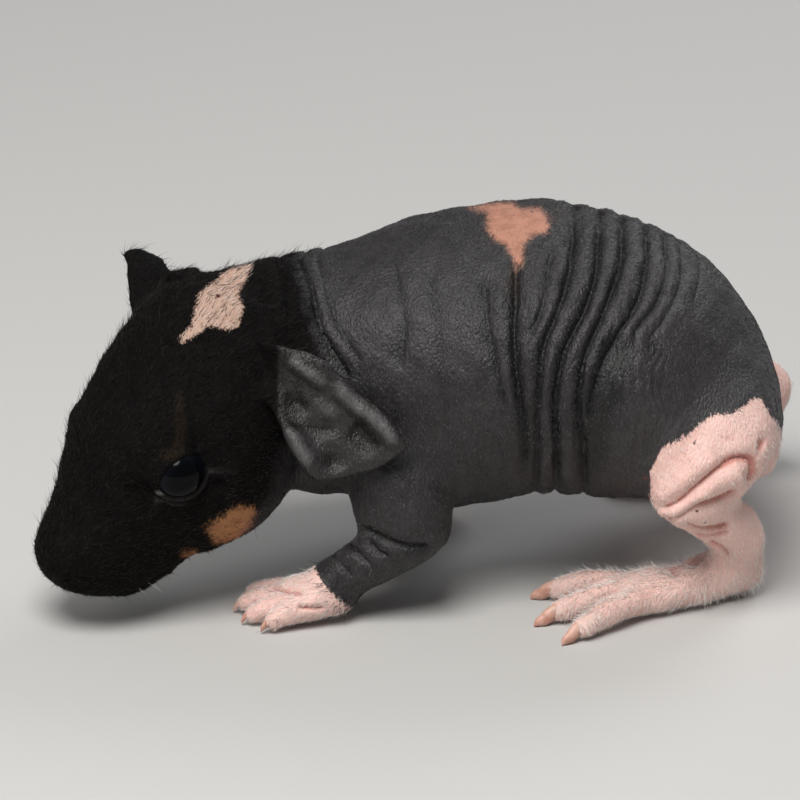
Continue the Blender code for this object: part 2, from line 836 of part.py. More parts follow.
def main():
    for obj in list(bpy.data.objects):
        bpy.data.objects.remove(obj)
    body = loft("body", [ring_of(row, BODY_SIDES) for row in rows_of_body()])
    arms = []
    for side in ("left", "right"):
        fore_claws = ("fore_claw", FORE_CLAW_LENGTH, FORE_CLAW_RADIUS)
        hind_claws = ("hind_claw", HIND_CLAW_LENGTH, HIND_CLAW_RADIUS)
        fore_names = ("upper_arm", "forearm", "forefoot")
        arms.append(make_leg(side, FORELEGS[side], FOREFEET[side], fore_names, fore_claws, body))
        make_leg(side, HINDLEGS[side], HINDFEET[side], ("thigh", "shank", "hindfoot"), hind_claws, body)
    for (side, shape), arm in zip(EARS.items(), arms):
        leaf = make_ear(f"ear_{side}", shape)
        carve(leaf, grown(body))
        carve(leaf, grown(arm))
    head = part_body(body)["head"]
    bpy.data.objects.remove(body)
    shape_mouth(head)
    shape_eyes(head)
    gather("skinny_pig")


main()
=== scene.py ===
"""Skinny pig pup: the finished skin, eyes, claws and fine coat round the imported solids.

Sizes are in millimetres in the pup's own axes: it faces -X, its left side is -Y and the floor is
z = 0. A place on a flank is also given as two numbers, across and up, on a slanted side plane that
faces 22 degrees above the level. Head places are forward, right and up from the eye station.
"""

import enum
import json
import logging
import math
from dataclasses import dataclass, field, replace
from typing import Any, Iterable, Sequence

import bmesh
import bpy
import numpy as np
from mathutils import Matrix, Vector
from mathutils.bvhtree import BVHTree

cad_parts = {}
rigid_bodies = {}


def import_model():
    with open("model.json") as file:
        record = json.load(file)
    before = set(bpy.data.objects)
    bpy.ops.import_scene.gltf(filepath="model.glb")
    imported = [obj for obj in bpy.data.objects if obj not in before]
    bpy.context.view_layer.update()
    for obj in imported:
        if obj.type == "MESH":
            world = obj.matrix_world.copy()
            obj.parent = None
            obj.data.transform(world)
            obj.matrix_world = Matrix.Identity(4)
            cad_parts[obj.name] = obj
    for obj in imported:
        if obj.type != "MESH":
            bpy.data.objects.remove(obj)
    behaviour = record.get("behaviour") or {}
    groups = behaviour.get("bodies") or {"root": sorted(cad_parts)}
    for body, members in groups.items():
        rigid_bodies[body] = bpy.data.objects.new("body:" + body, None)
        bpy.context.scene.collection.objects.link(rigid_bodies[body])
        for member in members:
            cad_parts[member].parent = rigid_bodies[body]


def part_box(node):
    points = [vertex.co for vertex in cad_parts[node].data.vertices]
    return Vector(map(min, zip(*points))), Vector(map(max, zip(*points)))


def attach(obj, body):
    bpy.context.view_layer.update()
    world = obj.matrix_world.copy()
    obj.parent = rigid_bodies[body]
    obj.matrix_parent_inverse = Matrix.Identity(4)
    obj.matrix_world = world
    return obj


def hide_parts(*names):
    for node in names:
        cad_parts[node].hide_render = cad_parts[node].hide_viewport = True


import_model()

LOG = logging.getLogger("pup")
MM = 0.001
SLANT = math.radians(22.0)
BODY = "root"
FAR = 9.0  # the largest gap to a marking that is told apart
SIGHT = 90.0  # how far off a line of sight starts
WIDTH, TOP, BOTTOM, POWER = 9, 10, 11, 12  # a section row's columns after its centre, side and up

Array = np.ndarray
Spot = tuple[float, float]
Place = tuple[float, float, float]
Row = tuple[float, ...]
Colour = tuple[float, float, float]


def unit(vectors: Any) -> Array:
    """Vectors, or one vector, brought to a length of one."""
    vectors = np.asarray(vectors, float)
    return vectors / np.maximum(np.linalg.norm(vectors, axis=-1, keepdims=True), 1e-9)


def smoothstep(low: float, high: float, value: Array) -> Array:
    """A smooth ramp over values, from 0 at low to 1 at high."""
    share = np.clip((value - low) / (high - low), 0.0, 1.0)
    return share * share * (3.0 - 2.0 * share)


def hump(gap: Any, width: float, power: int = 2) -> Any:
    """A bell that is 1 where the gap is 0; a higher power gives it a flatter top."""
    return np.exp(-((gap / width) ** power))


def away(points: Array, spot: Any) -> Array:
    """How far each point is from one place."""
    return np.linalg.norm(points - spot, axis=1)


def run_length(line: Array) -> float:
    """The length of a line of straight runs."""
    return float(np.linalg.norm(np.diff(line, axis=0), axis=1).sum())


def side_axes(side: int) -> tuple[Array, Array]:
    """The way into one flank across its slanted side plane, and the way up on that plane."""
    look = np.array([0.0, -side * math.cos(SLANT), -math.sin(SLANT)])
    return look, np.array([0.0, -side * math.sin(SLANT), math.cos(SLANT)])


def smooth_rows(keys: Any, spans: int) -> Array:
    """Rows read from a smooth curve through key rows.

    Args:
        keys: The rows to pass through; the first three columns set their spacing.
        spans: How many rows to read for each span.

    Returns:
        The rows, first and last key included.
    """
    keys = np.asarray(keys, float)
    lead = min(3, keys.shape[1])
    steps = np.linalg.norm(np.diff(keys[:, :lead], axis=0), axis=1)
    at = np.concatenate([[0.0], np.cumsum(steps)])
    slopes = np.gradient(keys, at, axis=0)
    rows = []
    for i, step in enumerate(steps):
        for part in range(spans):
            t = part / spans
            rows.append(
                (2 * t**3 - 3 * t**2 + 1) * keys[i]
                + (t**3 - 2 * t**2 + t) * step * slopes[i]
                + (3 * t**2 - 2 * t**3) * keys[i + 1]
                + (t**3 - t**2) * step * slopes[i + 1]
            )
    return np.array(rows + [keys[-1]])


def wobble(points: Array, size: float, seed: int, waves: int = 7, peak: float = 3.2) -> Array:
    """A soft, uneven field made of a few waves in fixed directions.

    Args:
        points: Places in millimetres.
        size: About how far apart its humps are.
        seed: Picks the directions.
        waves: How many waves are added up.
        peak: About the highest sum of them.

    Returns:
        Values of about -1 to 1, one a point.
    """
    draw = np.random.default_rng(seed)
    total = np.zeros(len(points))
    for _ in range(waves):
        way = unit(draw.normal(size=3)) * (2.0 * math.pi / size) * draw.uniform(0.6, 1.5)
        total += np.sin(points @ way + draw.uniform(0.0, 2.0 * math.pi))
    return total / peak


@dataclass(frozen=True)
class HeadAxes:
    """The head's own directions, from its turn and its tilt.

    Attributes:
        yaw: How far it is turned to the pup's left, in degrees.
        pitch: How far it looks down, in degrees.
        station: The point of its axis level with the eyes.
    """

    yaw: float = 35.0
    pitch: float = 43.0
    station: Place = (-31.7, -11.4, 19.5)

    @property
    def table(self) -> Array:
        """Rows for forward, right and up.

        Returns:
            Three unit vectors, one a row.
        """
        yaw, pitch = math.radians(self.yaw), math.radians(self.pitch)
        level = math.cos(pitch)
        forward = np.array([-level * math.cos(yaw), -level * math.sin(yaw), -math.sin(pitch)])
        right = np.array([-math.sin(yaw), math.cos(yaw), 0.0])
        return np.array([forward, right, np.cross(right, forward)])

    def place(self, local: Any) -> Array:
        """Pup places for head places."""
        return np.asarray(self.station) + np.asarray(local, float) @ self.table

    def local(self, points: Array) -> Array:
        """Head places for pup places."""
        return (points - np.asarray(self.station)) @ self.table.T


HEAD = HeadAxes()


@dataclass
class Solid:
    """A closed form as points in millimetres and faces.

    Attributes:
        points: One row a point.
        faces: Tuples of point numbers.
    """

    points: Array
    faces: list[tuple[int, ...]]


def ring_points(rows: Array, sides: int) -> Array:
    """Outline points of section rows.

    Args:
        rows: Centre, side, up, width, top, bottom and power, one section a row.
        sides: Points to each outline.

    Returns:
        A table of sections by points by three.
    """
    angle = np.linspace(0.0, 2.0 * math.pi, sides, endpoint=False)
    power = 2.0 / rows[:, [POWER]]
    cosine, sine = np.cos(angle)[None, :], np.sin(angle)[None, :]
    across = np.sign(cosine) * np.abs(cosine) ** power * rows[:, [WIDTH]]
    reach = np.where(sine > 0.0, rows[:, [TOP]], rows[:, [BOTTOM]])
    rise = np.sign(sine) * np.abs(sine) ** power * reach
    side, up = unit(rows[:, 3:6]), unit(rows[:, 6:9])
    return rows[:, None, 0:3] + side[:, None] * across[..., None] + up[:, None] * rise[..., None]


def loft(rings: Array) -> Solid:
    """A closed form through rings, with a pole in the middle of each end.

    Args:
        rings: Sections by points by three.

    Returns:
        The closed form.
    """
    count, sides = rings.shape[:2]
    faces: list[tuple[int, ...]] = []
    for row in range(count - 1):
        for i in range(sides):
            j = (i + 1) % sides
            faces.append((row * sides + i, row * sides + j, (row + 1) * sides + j, (row + 1) * sides + i))
    poles = rings[[0, -1]].mean(axis=1)
    for end, start in enumerate((0, (count - 1) * sides)):
        pole = count * sides + end
        faces += [(start + i, start + (i + 1) % sides, pole) for i in range(sides)]
    return Solid(np.vstack([rings.reshape(-1, 3), poles]), faces)


def ball(centre: Any, radii: Any, sides: int = 32) -> Solid:
    """A closed ball, stretched along the pup's axes.

    Args:
        centre: Its middle.
        radii: Its three half sizes, or one for all.
        sides: How many sides it has round its axis.

    Returns:
        The closed form.
    """
    heights = np.linspace(-0.97, 0.97, sides // 2)
    rings = []
    for height in np.sin(heights * math.pi / 2.0):
        angle = np.linspace(0.0, 2.0 * math.pi, sides, endpoint=False)
        flat = math.sqrt(1.0 - height * height)
        rings.append(np.stack([np.cos(angle) * flat, np.sin(angle) * flat, np.full(sides, height)], 1))
    return loft(np.asarray(centre, float) + np.array(rings) * np.asarray(radii, float))


def cap_rows(row: Array, inner: Array) -> list[Array]:
    """Rows that round off a limb's end, from the end outwards.

    Args:
        row: The end's place, half width and half depth.
        inner: The row before it.

    Returns:
        Rows of the same kind.
    """
    way, reach = unit(row[:3] - inner[:3]), min(row[3], row[4])
    turns = np.linspace(0.25, 1.35, 6)
    return [np.array([*(row[:3] + way * reach * math.sin(t)), *(row[3:] * math.cos(t))]) for t in turns]


def limb(keys: Any, hint: Any, sides: int = 40, spans: int = 8) -> Solid:
    """A rounded limb.

    Args:
        keys: Rows of place, half width along the hint, and half depth across it.
        hint: The way that its width runs.
        sides: Points to each section.
        spans: Sections to each span.

    Returns:
        The closed form.
    """
    rows = smooth_rows(keys, spans)
    rows = np.array([*cap_rows(rows[0], rows[1])[::-1], *rows, *cap_rows(rows[-1], rows[-2])])
    along = unit(np.gradient(rows[:, :3], axis=0))
    hint = np.asarray(hint, float)
    side = unit(hint - along * (along @ hint)[:, None])
    up = np.cross(along, side)
    table = [rows[:, :3], side, up, rows[:, 3], rows[:, 4], rows[:, 4], np.full(len(rows), 2.0)]
    return loft(ring_points(np.column_stack(table), sides))


def mesh_of(name: str, solids: Iterable[Solid]) -> bpy.types.Object:
    """One object from closed forms, with faces outwards.

    Args:
        name: The object's name.
        solids: The closed forms that it holds.

    Returns:
        The object, in pup places in metres.
    """
    points: list[Array] = []
    faces: list[tuple[int, ...]] = []
    start = 0
    for solid in solids:
        points.append(solid.points)
        faces += [tuple(start + i for i in face) for face in solid.faces]
        start += len(solid.points)
    mesh = bpy.data.meshes.new(name)
    mesh.from_pydata((np.vstack(points) * MM).tolist(), [], faces)
    shape = bmesh.new()
    shape.from_mesh(mesh)
    bmesh.ops.recalc_face_normals(shape, faces=shape.faces)
    shape.to_mesh(mesh)
    shape.free()
    obj = bpy.data.objects.new(name, mesh)
    bpy.context.scene.collection.objects.link(obj)
    return obj


def bake(obj: bpy.types.Object) -> None:
    """Turns an object's modifiers into its plain mesh.

    Args:
        obj: The object to change.
    """
    mesh = bpy.data.meshes.new_from_object(obj.evaluated_get(bpy.context.evaluated_depsgraph_get()))
    obj.modifiers.clear()
    obj.data = mesh


def table_of(items: Any, key: str, width: int = 3, kind: type = np.float32) -> Array:
    """One property of each item in a mesh's list.

    Args:
        items: The list.
        key: The property's name.
        width: How many numbers it holds.
        kind: Their type in the mesh.

    Returns:
        One row an item.
    """
    flat = np.empty(len(items) * width, kind)
    items.foreach_get(key, flat)
    return flat.reshape(-1, width)


def read(obj: bpy.types.Object) -> Array:
    """An object's points in millimetres."""
    return table_of(obj.data.vertices, "co").astype(float) / MM


def write(obj: bpy.types.Object, points: Array) -> None:
    """Sets an object's points from millimetres."""
    obj.data.vertices.foreach_set("co", (points * MM).astype(np.float32).ravel())
    obj.data.update()


def normals_of(obj: bpy.types.Object) -> Array:
    """An object's point normals."""
    return table_of(obj.data.vertex_normals, "vector").astype(float)


def edges_of(obj: bpy.types.Object) -> Array:
    """An object's edges as pairs of point numbers."""
    return table_of(obj.data.edges, "vertices", 2, np.int32)


def faces_of(obj: bpy.types.Object) -> list[tuple[int, ...]]:
    """An object's faces as tuples of point numbers."""
    return [tuple(face.vertices) for face in obj.data.polygons]


def shade_smooth(obj: bpy.types.Object) -> None:
    """Shades an object smooth."""
    obj.data.polygons.foreach_set("use_smooth", np.ones(len(obj.data.polygons), bool))


def relax(points: Array, edges: Array, weight: Array, times: int) -> Array:
    """Moves each point towards the middle of its neighbours, again and again.

    Args:
        points: The points.
        edges: Pairs of neighbours.
        weight: How far each point goes each time, from 0 to 1.
        times: How often.

    Returns:
        The moved points.
    """
    count = np.bincount(edges.ravel(), minlength=len(points))[:, None]
    first, second = edges[:, 0], edges[:, 1]
    for _ in range(times):
        total = np.empty_like(points)
        for axis in range(3):
            column = points[:, axis]
            total[:, axis] = np.bincount(first, column[second], len(points))
            total[:, axis] += np.bincount(second, column[first], len(points))
        points = points + weight[:, None] * (total / count - points)
    return points


def set_attribute(obj: bpy.types.Object, name: str, values: Array) -> None:
    """Stores one number or vector a point on an object's mesh."""
    kind, key = ("FLOAT", "value") if values.ndim == 1 else ("FLOAT_VECTOR", "vector")
    obj.data.attributes.new(name, kind, "POINT").data.foreach_set(key, values.astype(np.float32).ravel())


def slanted(points: Array, side: int = -1) -> Array:
    """Across and up on the slanted side plane of one flank, one row a point."""
    up = points[:, 2] * math.cos(SLANT) - side * points[:, 1] * math.sin(SLANT)
    return np.stack([points[:, 0], up], 1)


def on_skin(skin: BVHTree, across: float, up: float) -> Array:
    """The place on the left flank's skin behind a place of its slanted side plane.

    Args:
        skin: The skin's faces, in pup places.
        across: Along the plane.
        up: Up on it.

    Returns:
        The place where the line of sight meets the skin, or else the nearest one on the skin.
    """
    look, rise = side_axes(-1)
    start = np.array([across, 0.0, 0.0]) + rise * up - look * SIGHT
    hit = skin.ray_cast(Vector(start), Vector(look))[0]
    return np.array(hit or skin.find_nearest(Vector(start + look * SIGHT))[0])


def distance_to_line(places: Array, line: Array) -> tuple[Array, Array]:
    """How far each place is from a line of straight runs, and how far along it that is.

    Args:
        places: One row a place.
        line: One row a corner.

    Returns:
        The distances, and the lengths along the line.
    """
    best = np.full(len(places), np.inf)
    along = np.zeros(len(places))
    done = 0.0
    for start, end in zip(line[:-1], line[1:]):
        run = end - start
        length = float(np.linalg.norm(run))
        share = np.clip((places - start) @ run / (length * length), 0.0, 1.0)
        gap = np.linalg.norm(places - start - share[:, None] * run, axis=1)
        closer = gap < best
        best = np.where(closer, gap, best)
        along = np.where(closer, done + share * length, along)
        done += length
    return best, along


def pleat(share: Array) -> Array:
    """The depth of a fold's side by how far off its valley is: 1 in the valley, 0 on its crest."""
    return 1.0 - (1.0 - (1.0 - np.clip(share, 0.0, 1.0)) ** 2) ** 0.72


class Profile(enum.Enum):
    """How a stroke is shaped across its line."""

    SHARP = "a sharp valley between rounded banks"
    ROUND = "a soft hollow or swelling"


@dataclass(frozen=True)
class Stroke:
    """A groove or ridge drawn on the skin along a line.

    Attributes:
        line: Places on the slanted side plane, or head places.
        depth: How high it stands; below zero it sinks in.
        width: How wide it is.
        profile: Its shape across the line.
        side: -1 for the left flank, 1 for the right one, 0 for head places on both sides.
        fade: The length over which each end dies away.
    """

    line: tuple[Row, ...]
    depth: float
    width: float
    profile: Profile = Profile.SHARP
    side: int = -1
    fade: float = 1.5

    def height(self, points: Array, normals: Array) -> Array:
        """How far the stroke lifts each point along its normal.

        Args:
            points: Pup places.
            normals: Their normals.

        Returns:
            Millimetres, one a point.
        """
        if self.side == 0:
            places = HEAD.local(points)
            lines = [np.array(self.line) * np.array([1.0, flip, 1.0]) for flip in (-1.0, 1.0)]
            facing = np.ones(len(points))
        else:
            places = slanted(points, self.side)
            lines = [np.array(self.line)]
            facing = smoothstep(-0.05, 0.3, -normals @ side_axes(self.side)[0])
        total = np.zeros(len(points))
        for line in lines:
            line = smooth_rows(line, 5)
            margin = self.width * 3.0
            near = ((places > line.min(axis=0) - margin) & (places < line.max(axis=0) + margin)).all(axis=1)
            near &= facing > 0.0
            if near.any():
                total[near] += self.shape(places[near], line) * facing[near]
        return total

    def shape(self, places: Array, line: Array) -> Array:
        """The lift of places near one line.

        Args:
            places: Places in the line's own kind of place.
            line: The smoothed line.

        Returns:
            Millimetres, one a place.
        """
        gap, along = distance_to_line(places, line)
        ends = smoothstep(0.0, self.fade, along) * smoothstep(0.0, self.fade, run_length(line) - along)
        if self.profile is Profile.ROUND:
            return self.depth * hump(gap, self.width) * ends
        return self.depth * pleat(gap / self.width) * ends


@dataclass(frozen=True)
class Torso:
    """Head, neck and trunk as one run of sections.

    Attributes:
        head: Forward, lift, half width, reach up, reach down and squareness, from the nose back.
        bends: Share of the turn, place, half width, reach up and reach down, between head and trunk.
        trunk: Place, half width and half height, back to the rump.
    """

    head: tuple[Row, ...] = (
        (19.9, 1.2, 0.1, 0.1, 0.1, 2.0), (19.4, 1.1, 2.3, 2.2, 2.0, 2.2), (18.4, 0.8, 4.1, 3.4, 3.9, 2.3),
        (16.2, -0.2, 6.3, 5.7, 6.3, 2.3), (13.6, -1.1, 7.6, 7.1, 7.9, 2.2), (10.0, -1.3, 8.6, 8.6, 9.3, 2.1),
        (6.0, -1.6, 10.2, 11.2, 10.5, 2.0), (0.0, -2.4, 13.5, 14.0, 12.8, 2.0),
        (-5.0, -1.8, 14.6, 13.8, 14.8, 2.0), (-9.5, -1.5, 14.4, 14.2, 14.6, 2.0),
    )
    bends: tuple[Row, ...] = (
        (0.32, -21.2, -4.6, 28.6, 14.0, 15.0, 13.9), (0.62, -17.2, -2.9, 29.6, 13.5, 13.3, 13.9),
    )
    trunk: tuple[Row, ...] = (
        (-11.0, -0.6, 29.5, 14.0, 14.2), (-7.4, 0.0, 28.2, 15.6, 15.8), (0.0, 0.4, 28.5, 18.0, 18.5),
        (9.0, 0.4, 29.7, 19.5, 19.1), (18.0, 0.2, 31.0, 21.0, 18.5), (25.6, 0.2, 30.2, 21.5, 18.0),
        (32.7, 0.4, 28.8, 19.8, 17.0), (39.2, 0.8, 27.0, 16.8, 14.6), (43.0, 1.0, 25.1, 14.2, 12.3),
        (46.5, 1.2, 22.4, 10.6, 8.7), (48.6, 1.2, 20.8, 6.6, 4.6), (49.3, 1.2, 20.4, 0.1, 0.1),
    )

    def rows(self, spans: int = 6) -> Array:
        """Section rows from the nose to the rump.

        Args:
            spans: Rows to each span.

        Returns:
            Centre, side, up, width, top, bottom and power, one section a row.
        """
        _, right, crown = HEAD.table
        keys = [[*HEAD.place((row[0], 0.0, row[1])), *right, *crown, *row[2:]] for row in self.head]
        across, upright = np.array([0.0, 1.0, 0.0]), np.array([0.0, 0.0, 1.0])
        for share, x, y, z, width, top, bottom in self.bends:
            side = unit(right * (1.0 - share) + across * share)
            up = crown * (1.0 - share) + upright * share
            up = unit(up - side * (up @ side))
            keys.append([x, y, z, *side, *up, width, top, bottom, 2.0])
        for x, y, z, width, height in self.trunk:
            keys.append([x, y, z, *across, *upright, width, height, height, 2.0])
        return smooth_rows(keys, spans)

    def solid(self) -> Solid:
        """The closed form of head, neck and trunk."""
        return loft(ring_points(self.rows(), 120))

    def on_muzzle(self, forward: float, angle: float) -> Array:
        """A place on the muzzle's skin, in head places.

        Args:
            forward: How far ahead of the eye station.
            angle: Degrees from the right side up.

        Returns:
            Forward, right and up.
        """
        rows = self.rows()
        ahead = HEAD.local(rows[:, :3])[:, 0]
        i = int(np.argmax(ahead <= forward))
        share = (ahead[i - 1] - forward) / (ahead[i - 1] - ahead[i])
        row = rows[i - 1] * (1.0 - share) + rows[i] * share
        power, turn = 2.0 / row[POWER], math.radians(angle)
        across = math.copysign(abs(math.cos(turn)) ** power, math.cos(turn)) * row[WIDTH]
        reach = row[TOP] if math.sin(turn) > 0.0 else row[BOTTOM]
        rise = math.copysign(abs(math.sin(turn)) ** power, math.sin(turn)) * reach
        centre = HEAD.local(row[None, :3])[0]
        return centre + np.array([0.0, across, rise])


TORSO = Torso()


class Pair(enum.Enum):
    """The two pairs of legs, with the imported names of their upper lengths."""

    FORE = ("upper_arm", "forearm")
    HIND = ("thigh", "shank")


@dataclass(frozen=True)
class Foot:
    """A foot and its toes.

    Attributes:
        sole: Rows of place, half width and half height.
        heading: The way that it points, in degrees from +X.
        root: Where its toes start, on the floor plan.
        toes: Reach, turn aside in degrees, and how far aside each starts.
        radius: A toe's half width.
        height: How high a toe's root lies.
    """

    sole: tuple[Row, ...]
    heading: float
    root: Spot
    toes: tuple[Place, ...]
    radius: float
    height: float

    def toe_rows(self, toe: Place) -> tuple[Array, Array]:
        """A toe's rows and the way that it points.

        Args:
            toe: Its reach, turn and start.

        Returns:
            Rows of place, half width and half height, and a level unit vector.
        """
        reach, spread, aside = toe
        heading, turned = math.radians(self.heading), math.radians(self.heading + spread)
        out = np.array([-math.sin(heading), math.cos(heading)])
        ahead = np.array([math.cos(turned), math.sin(turned)])
        profile = ((0.0, 1.0, 1.0), (0.4, 1.05, 1.0), (0.75, 0.86, 0.95), (0.94, 0.68, 0.84))
        rows = []
        for share, height, size in profile:
            spot = np.array(self.root) + out * aside + ahead * reach * share
            rows.append([*spot, self.height * height, self.radius * size, self.radius * size])
        return np.array(rows), np.array([*ahead, 0.0])

    def toe_solids(self) -> Iterable[Solid]:
        """The toes as closed forms.

        Returns:
            One form a toe.
        """
        for toe in self.toes:
            rows, ahead = self.toe_rows(toe)
            yield limb(rows, (-ahead[1], ahead[0], 0.0), 28, 6)


@dataclass(frozen=True)
class Leg:
    """A leg: its two upper lengths and its foot.

    Attributes:
        pair: The pair that it belongs to.
        side: "left" or "right".
        upper: Rows of place, half width and half depth, from body to elbow or knee.
        lower: The same, from elbow or knee to wrist or hock.
        hint: The way that the widths run.
        foot: Its foot.
    """

    pair: Pair
    side: str
    upper: tuple[Row, ...]
    lower: tuple[Row, ...]
    hint: Place
    foot: Foot

    @property
    def flank(self) -> int:
        """-1 on the left, 1 on the right."""
        return -1 if self.side == "left" else 1

    @property
    def nodes(self) -> list[str]:
        """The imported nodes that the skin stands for, from body to foot."""
        return [f"{part}_{self.side}" for part in (*self.pair.value, f"{self.pair.name.lower()}foot")]

    def claw_node(self, number: int) -> str:
        """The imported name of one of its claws."""
        return f"{self.pair.name.lower()}_claw_{self.side}_{number}"

    def solids(self) -> list[Solid]:
        """The leg without its toes, as closed forms."""
        sole = limb(self.foot.sole, (0.0, 1.0, 0.0))
        return [limb(self.upper, self.hint), limb(self.lower, self.hint), sole]

    def axis(self) -> Array:
        """Places along the leg's middle, from body to toes.

        Returns:
            One row a place.
        """
        tip = self.foot.toe_rows(self.foot.toes[1])[0][-1:, :3]
        keys = np.vstack([np.array(self.upper)[:, :3], np.array(self.lower)[1:, :3]])
        keys = np.vstack([keys, np.array(self.foot.sole)[1:, :3], tip])
        return smooth_rows(keys, 3)


LEGS = (
    Leg(
        Pair.FORE, "left",
        upper=(
            (-3.0, -10.5, 26.0, 6.6, 5.6), (-0.6, -14.2, 20.6, 6.9, 5.4), (1.6, -16.6, 15.4, 5.6, 4.8),
            (3.0, -17.0, 13.2, 4.5, 4.4),
        ),
        lower=(
            (2.6, -17.0, 12.4, 4.2, 4.2), (-2.4, -16.4, 9.2, 3.7, 3.6), (-6.4, -15.8, 6.5, 3.4, 3.2),
            (-9.6, -15.5, 4.6, 3.5, 2.8),
        ),
        hint=(1.0, 0.0, 0.2),
        foot=Foot(
            sole=((-8.0, -15.9, 4.2, 3.6, 3.4), (-11.4, -15.7, 3.1, 4.9, 3.0), (-14.4, -15.6, 2.2, 4.9, 2.4)),
            heading=184.0, root=(-12.8, -15.4),
            toes=((6.0, -12.0, -3.4), (7.2, -3.0, -1.2), (6.4, 8.0, 1.2), (4.2, 20.0, 3.3)), radius=1.4,
            height=2.3,
        ),
    ),
    Leg(
        Pair.FORE, "right",
        upper=(
            (-2.0, 10.5, 26.0, 6.6, 5.6), (1.6, 14.6, 20.4, 6.6, 5.2), (6.2, 17.0, 15.4, 5.2, 4.6),
            (9.0, 17.8, 13.0, 4.2, 4.2),
        ),
        lower=(
            (9.2, 17.8, 12.6, 3.9, 3.9), (9.2, 18.2, 8.8, 3.6, 3.4), (7.8, 18.4, 5.9, 3.3, 3.1),
            (6.3, 18.4, 4.4, 3.3, 2.8),
        ),
        hint=(1.0, 0.0, 0.2),
        foot=Foot(
            sole=((6.5, 18.4, 4.4, 3.1, 2.9), (3.7, 18.4, 2.6, 4.1, 2.4), (1.9, 18.4, 1.7, 4.4, 1.9)),
            heading=180.0, root=(3.1, 18.4),
            toes=((4.2, -20.0, -3.3), (5.2, -7.0, -1.2), (5.0, 4.0, 1.2), (4.2, 14.0, 3.3)), radius=1.25,
            height=2.0,
        ),
    ),
    Leg(
        Pair.HIND, "left",
        upper=(
            (38.6, -7.6, 27.0, 9.4, 7.4), (38.2, -12.4, 23.4, 9.8, 7.8), (36.6, -15.6, 19.8, 7.6, 6.2),
            (35.6, -17.0, 17.2, 4.3, 4.4),
        ),
        lower=(
            (36.2, -16.4, 16.4, 3.9, 4.2), (40.2, -13.2, 13.0, 3.7, 4.0), (43.0, -10.2, 8.9, 3.7, 3.9),
            (43.2, -8.8, 6.2, 3.7, 3.8),
        ),
        hint=(1.0, 0.0, 0.3),
        foot=Foot(
            sole=(
                (43.6, -7.8, 3.8, 3.5, 3.4), (38.6, -9.6, 2.7, 3.9, 2.9), (33.0, -11.8, 2.3, 4.6, 2.6),
                (28.4, -13.6, 2.0, 5.1, 2.3),
            ),
            heading=200.0, root=(29.6, -13.1), toes=((8.8, -22.0, -3.1), (10.8, 3.0, 0.2), (10.4, 20.0, 3.1)),
            radius=1.65, height=2.4,
        ),
    ),
    Leg(
        Pair.HIND, "right",
        upper=(
            (38.6, 8.4, 26.6, 9.4, 7.4), (38.0, 14.0, 23.2, 9.4, 7.6), (36.2, 18.8, 19.8, 7.2, 5.8),
            (34.9, 21.8, 17.6, 4.9, 4.6),
        ),
        lower=(
            (35.2, 22.4, 17.0, 4.4, 4.4), (41.0, 24.8, 16.2, 4.3, 4.0), (46.6, 27.2, 15.4, 3.9, 3.6),
            (49.2, 28.2, 14.4, 3.6, 3.5),
        ),
        hint=(0.6, 0.0, 0.8),
        foot=Foot(
            sole=(
                (49.2, 28.2, 13.4, 3.3, 3.3), (46.6, 29.2, 9.4, 3.4, 2.9), (43.0, 30.4, 4.8, 4.0, 2.6),
                (39.6, 31.2, 2.0, 4.6, 2.3),
            ),
            heading=172.0, root=(40.6, 31.0), toes=((10.2, 22.0, 3.0), (11.0, 2.0, 0.2), (10.2, -18.0, -3.0)),
            radius=1.65, height=2.4,
        ),
    ),
)


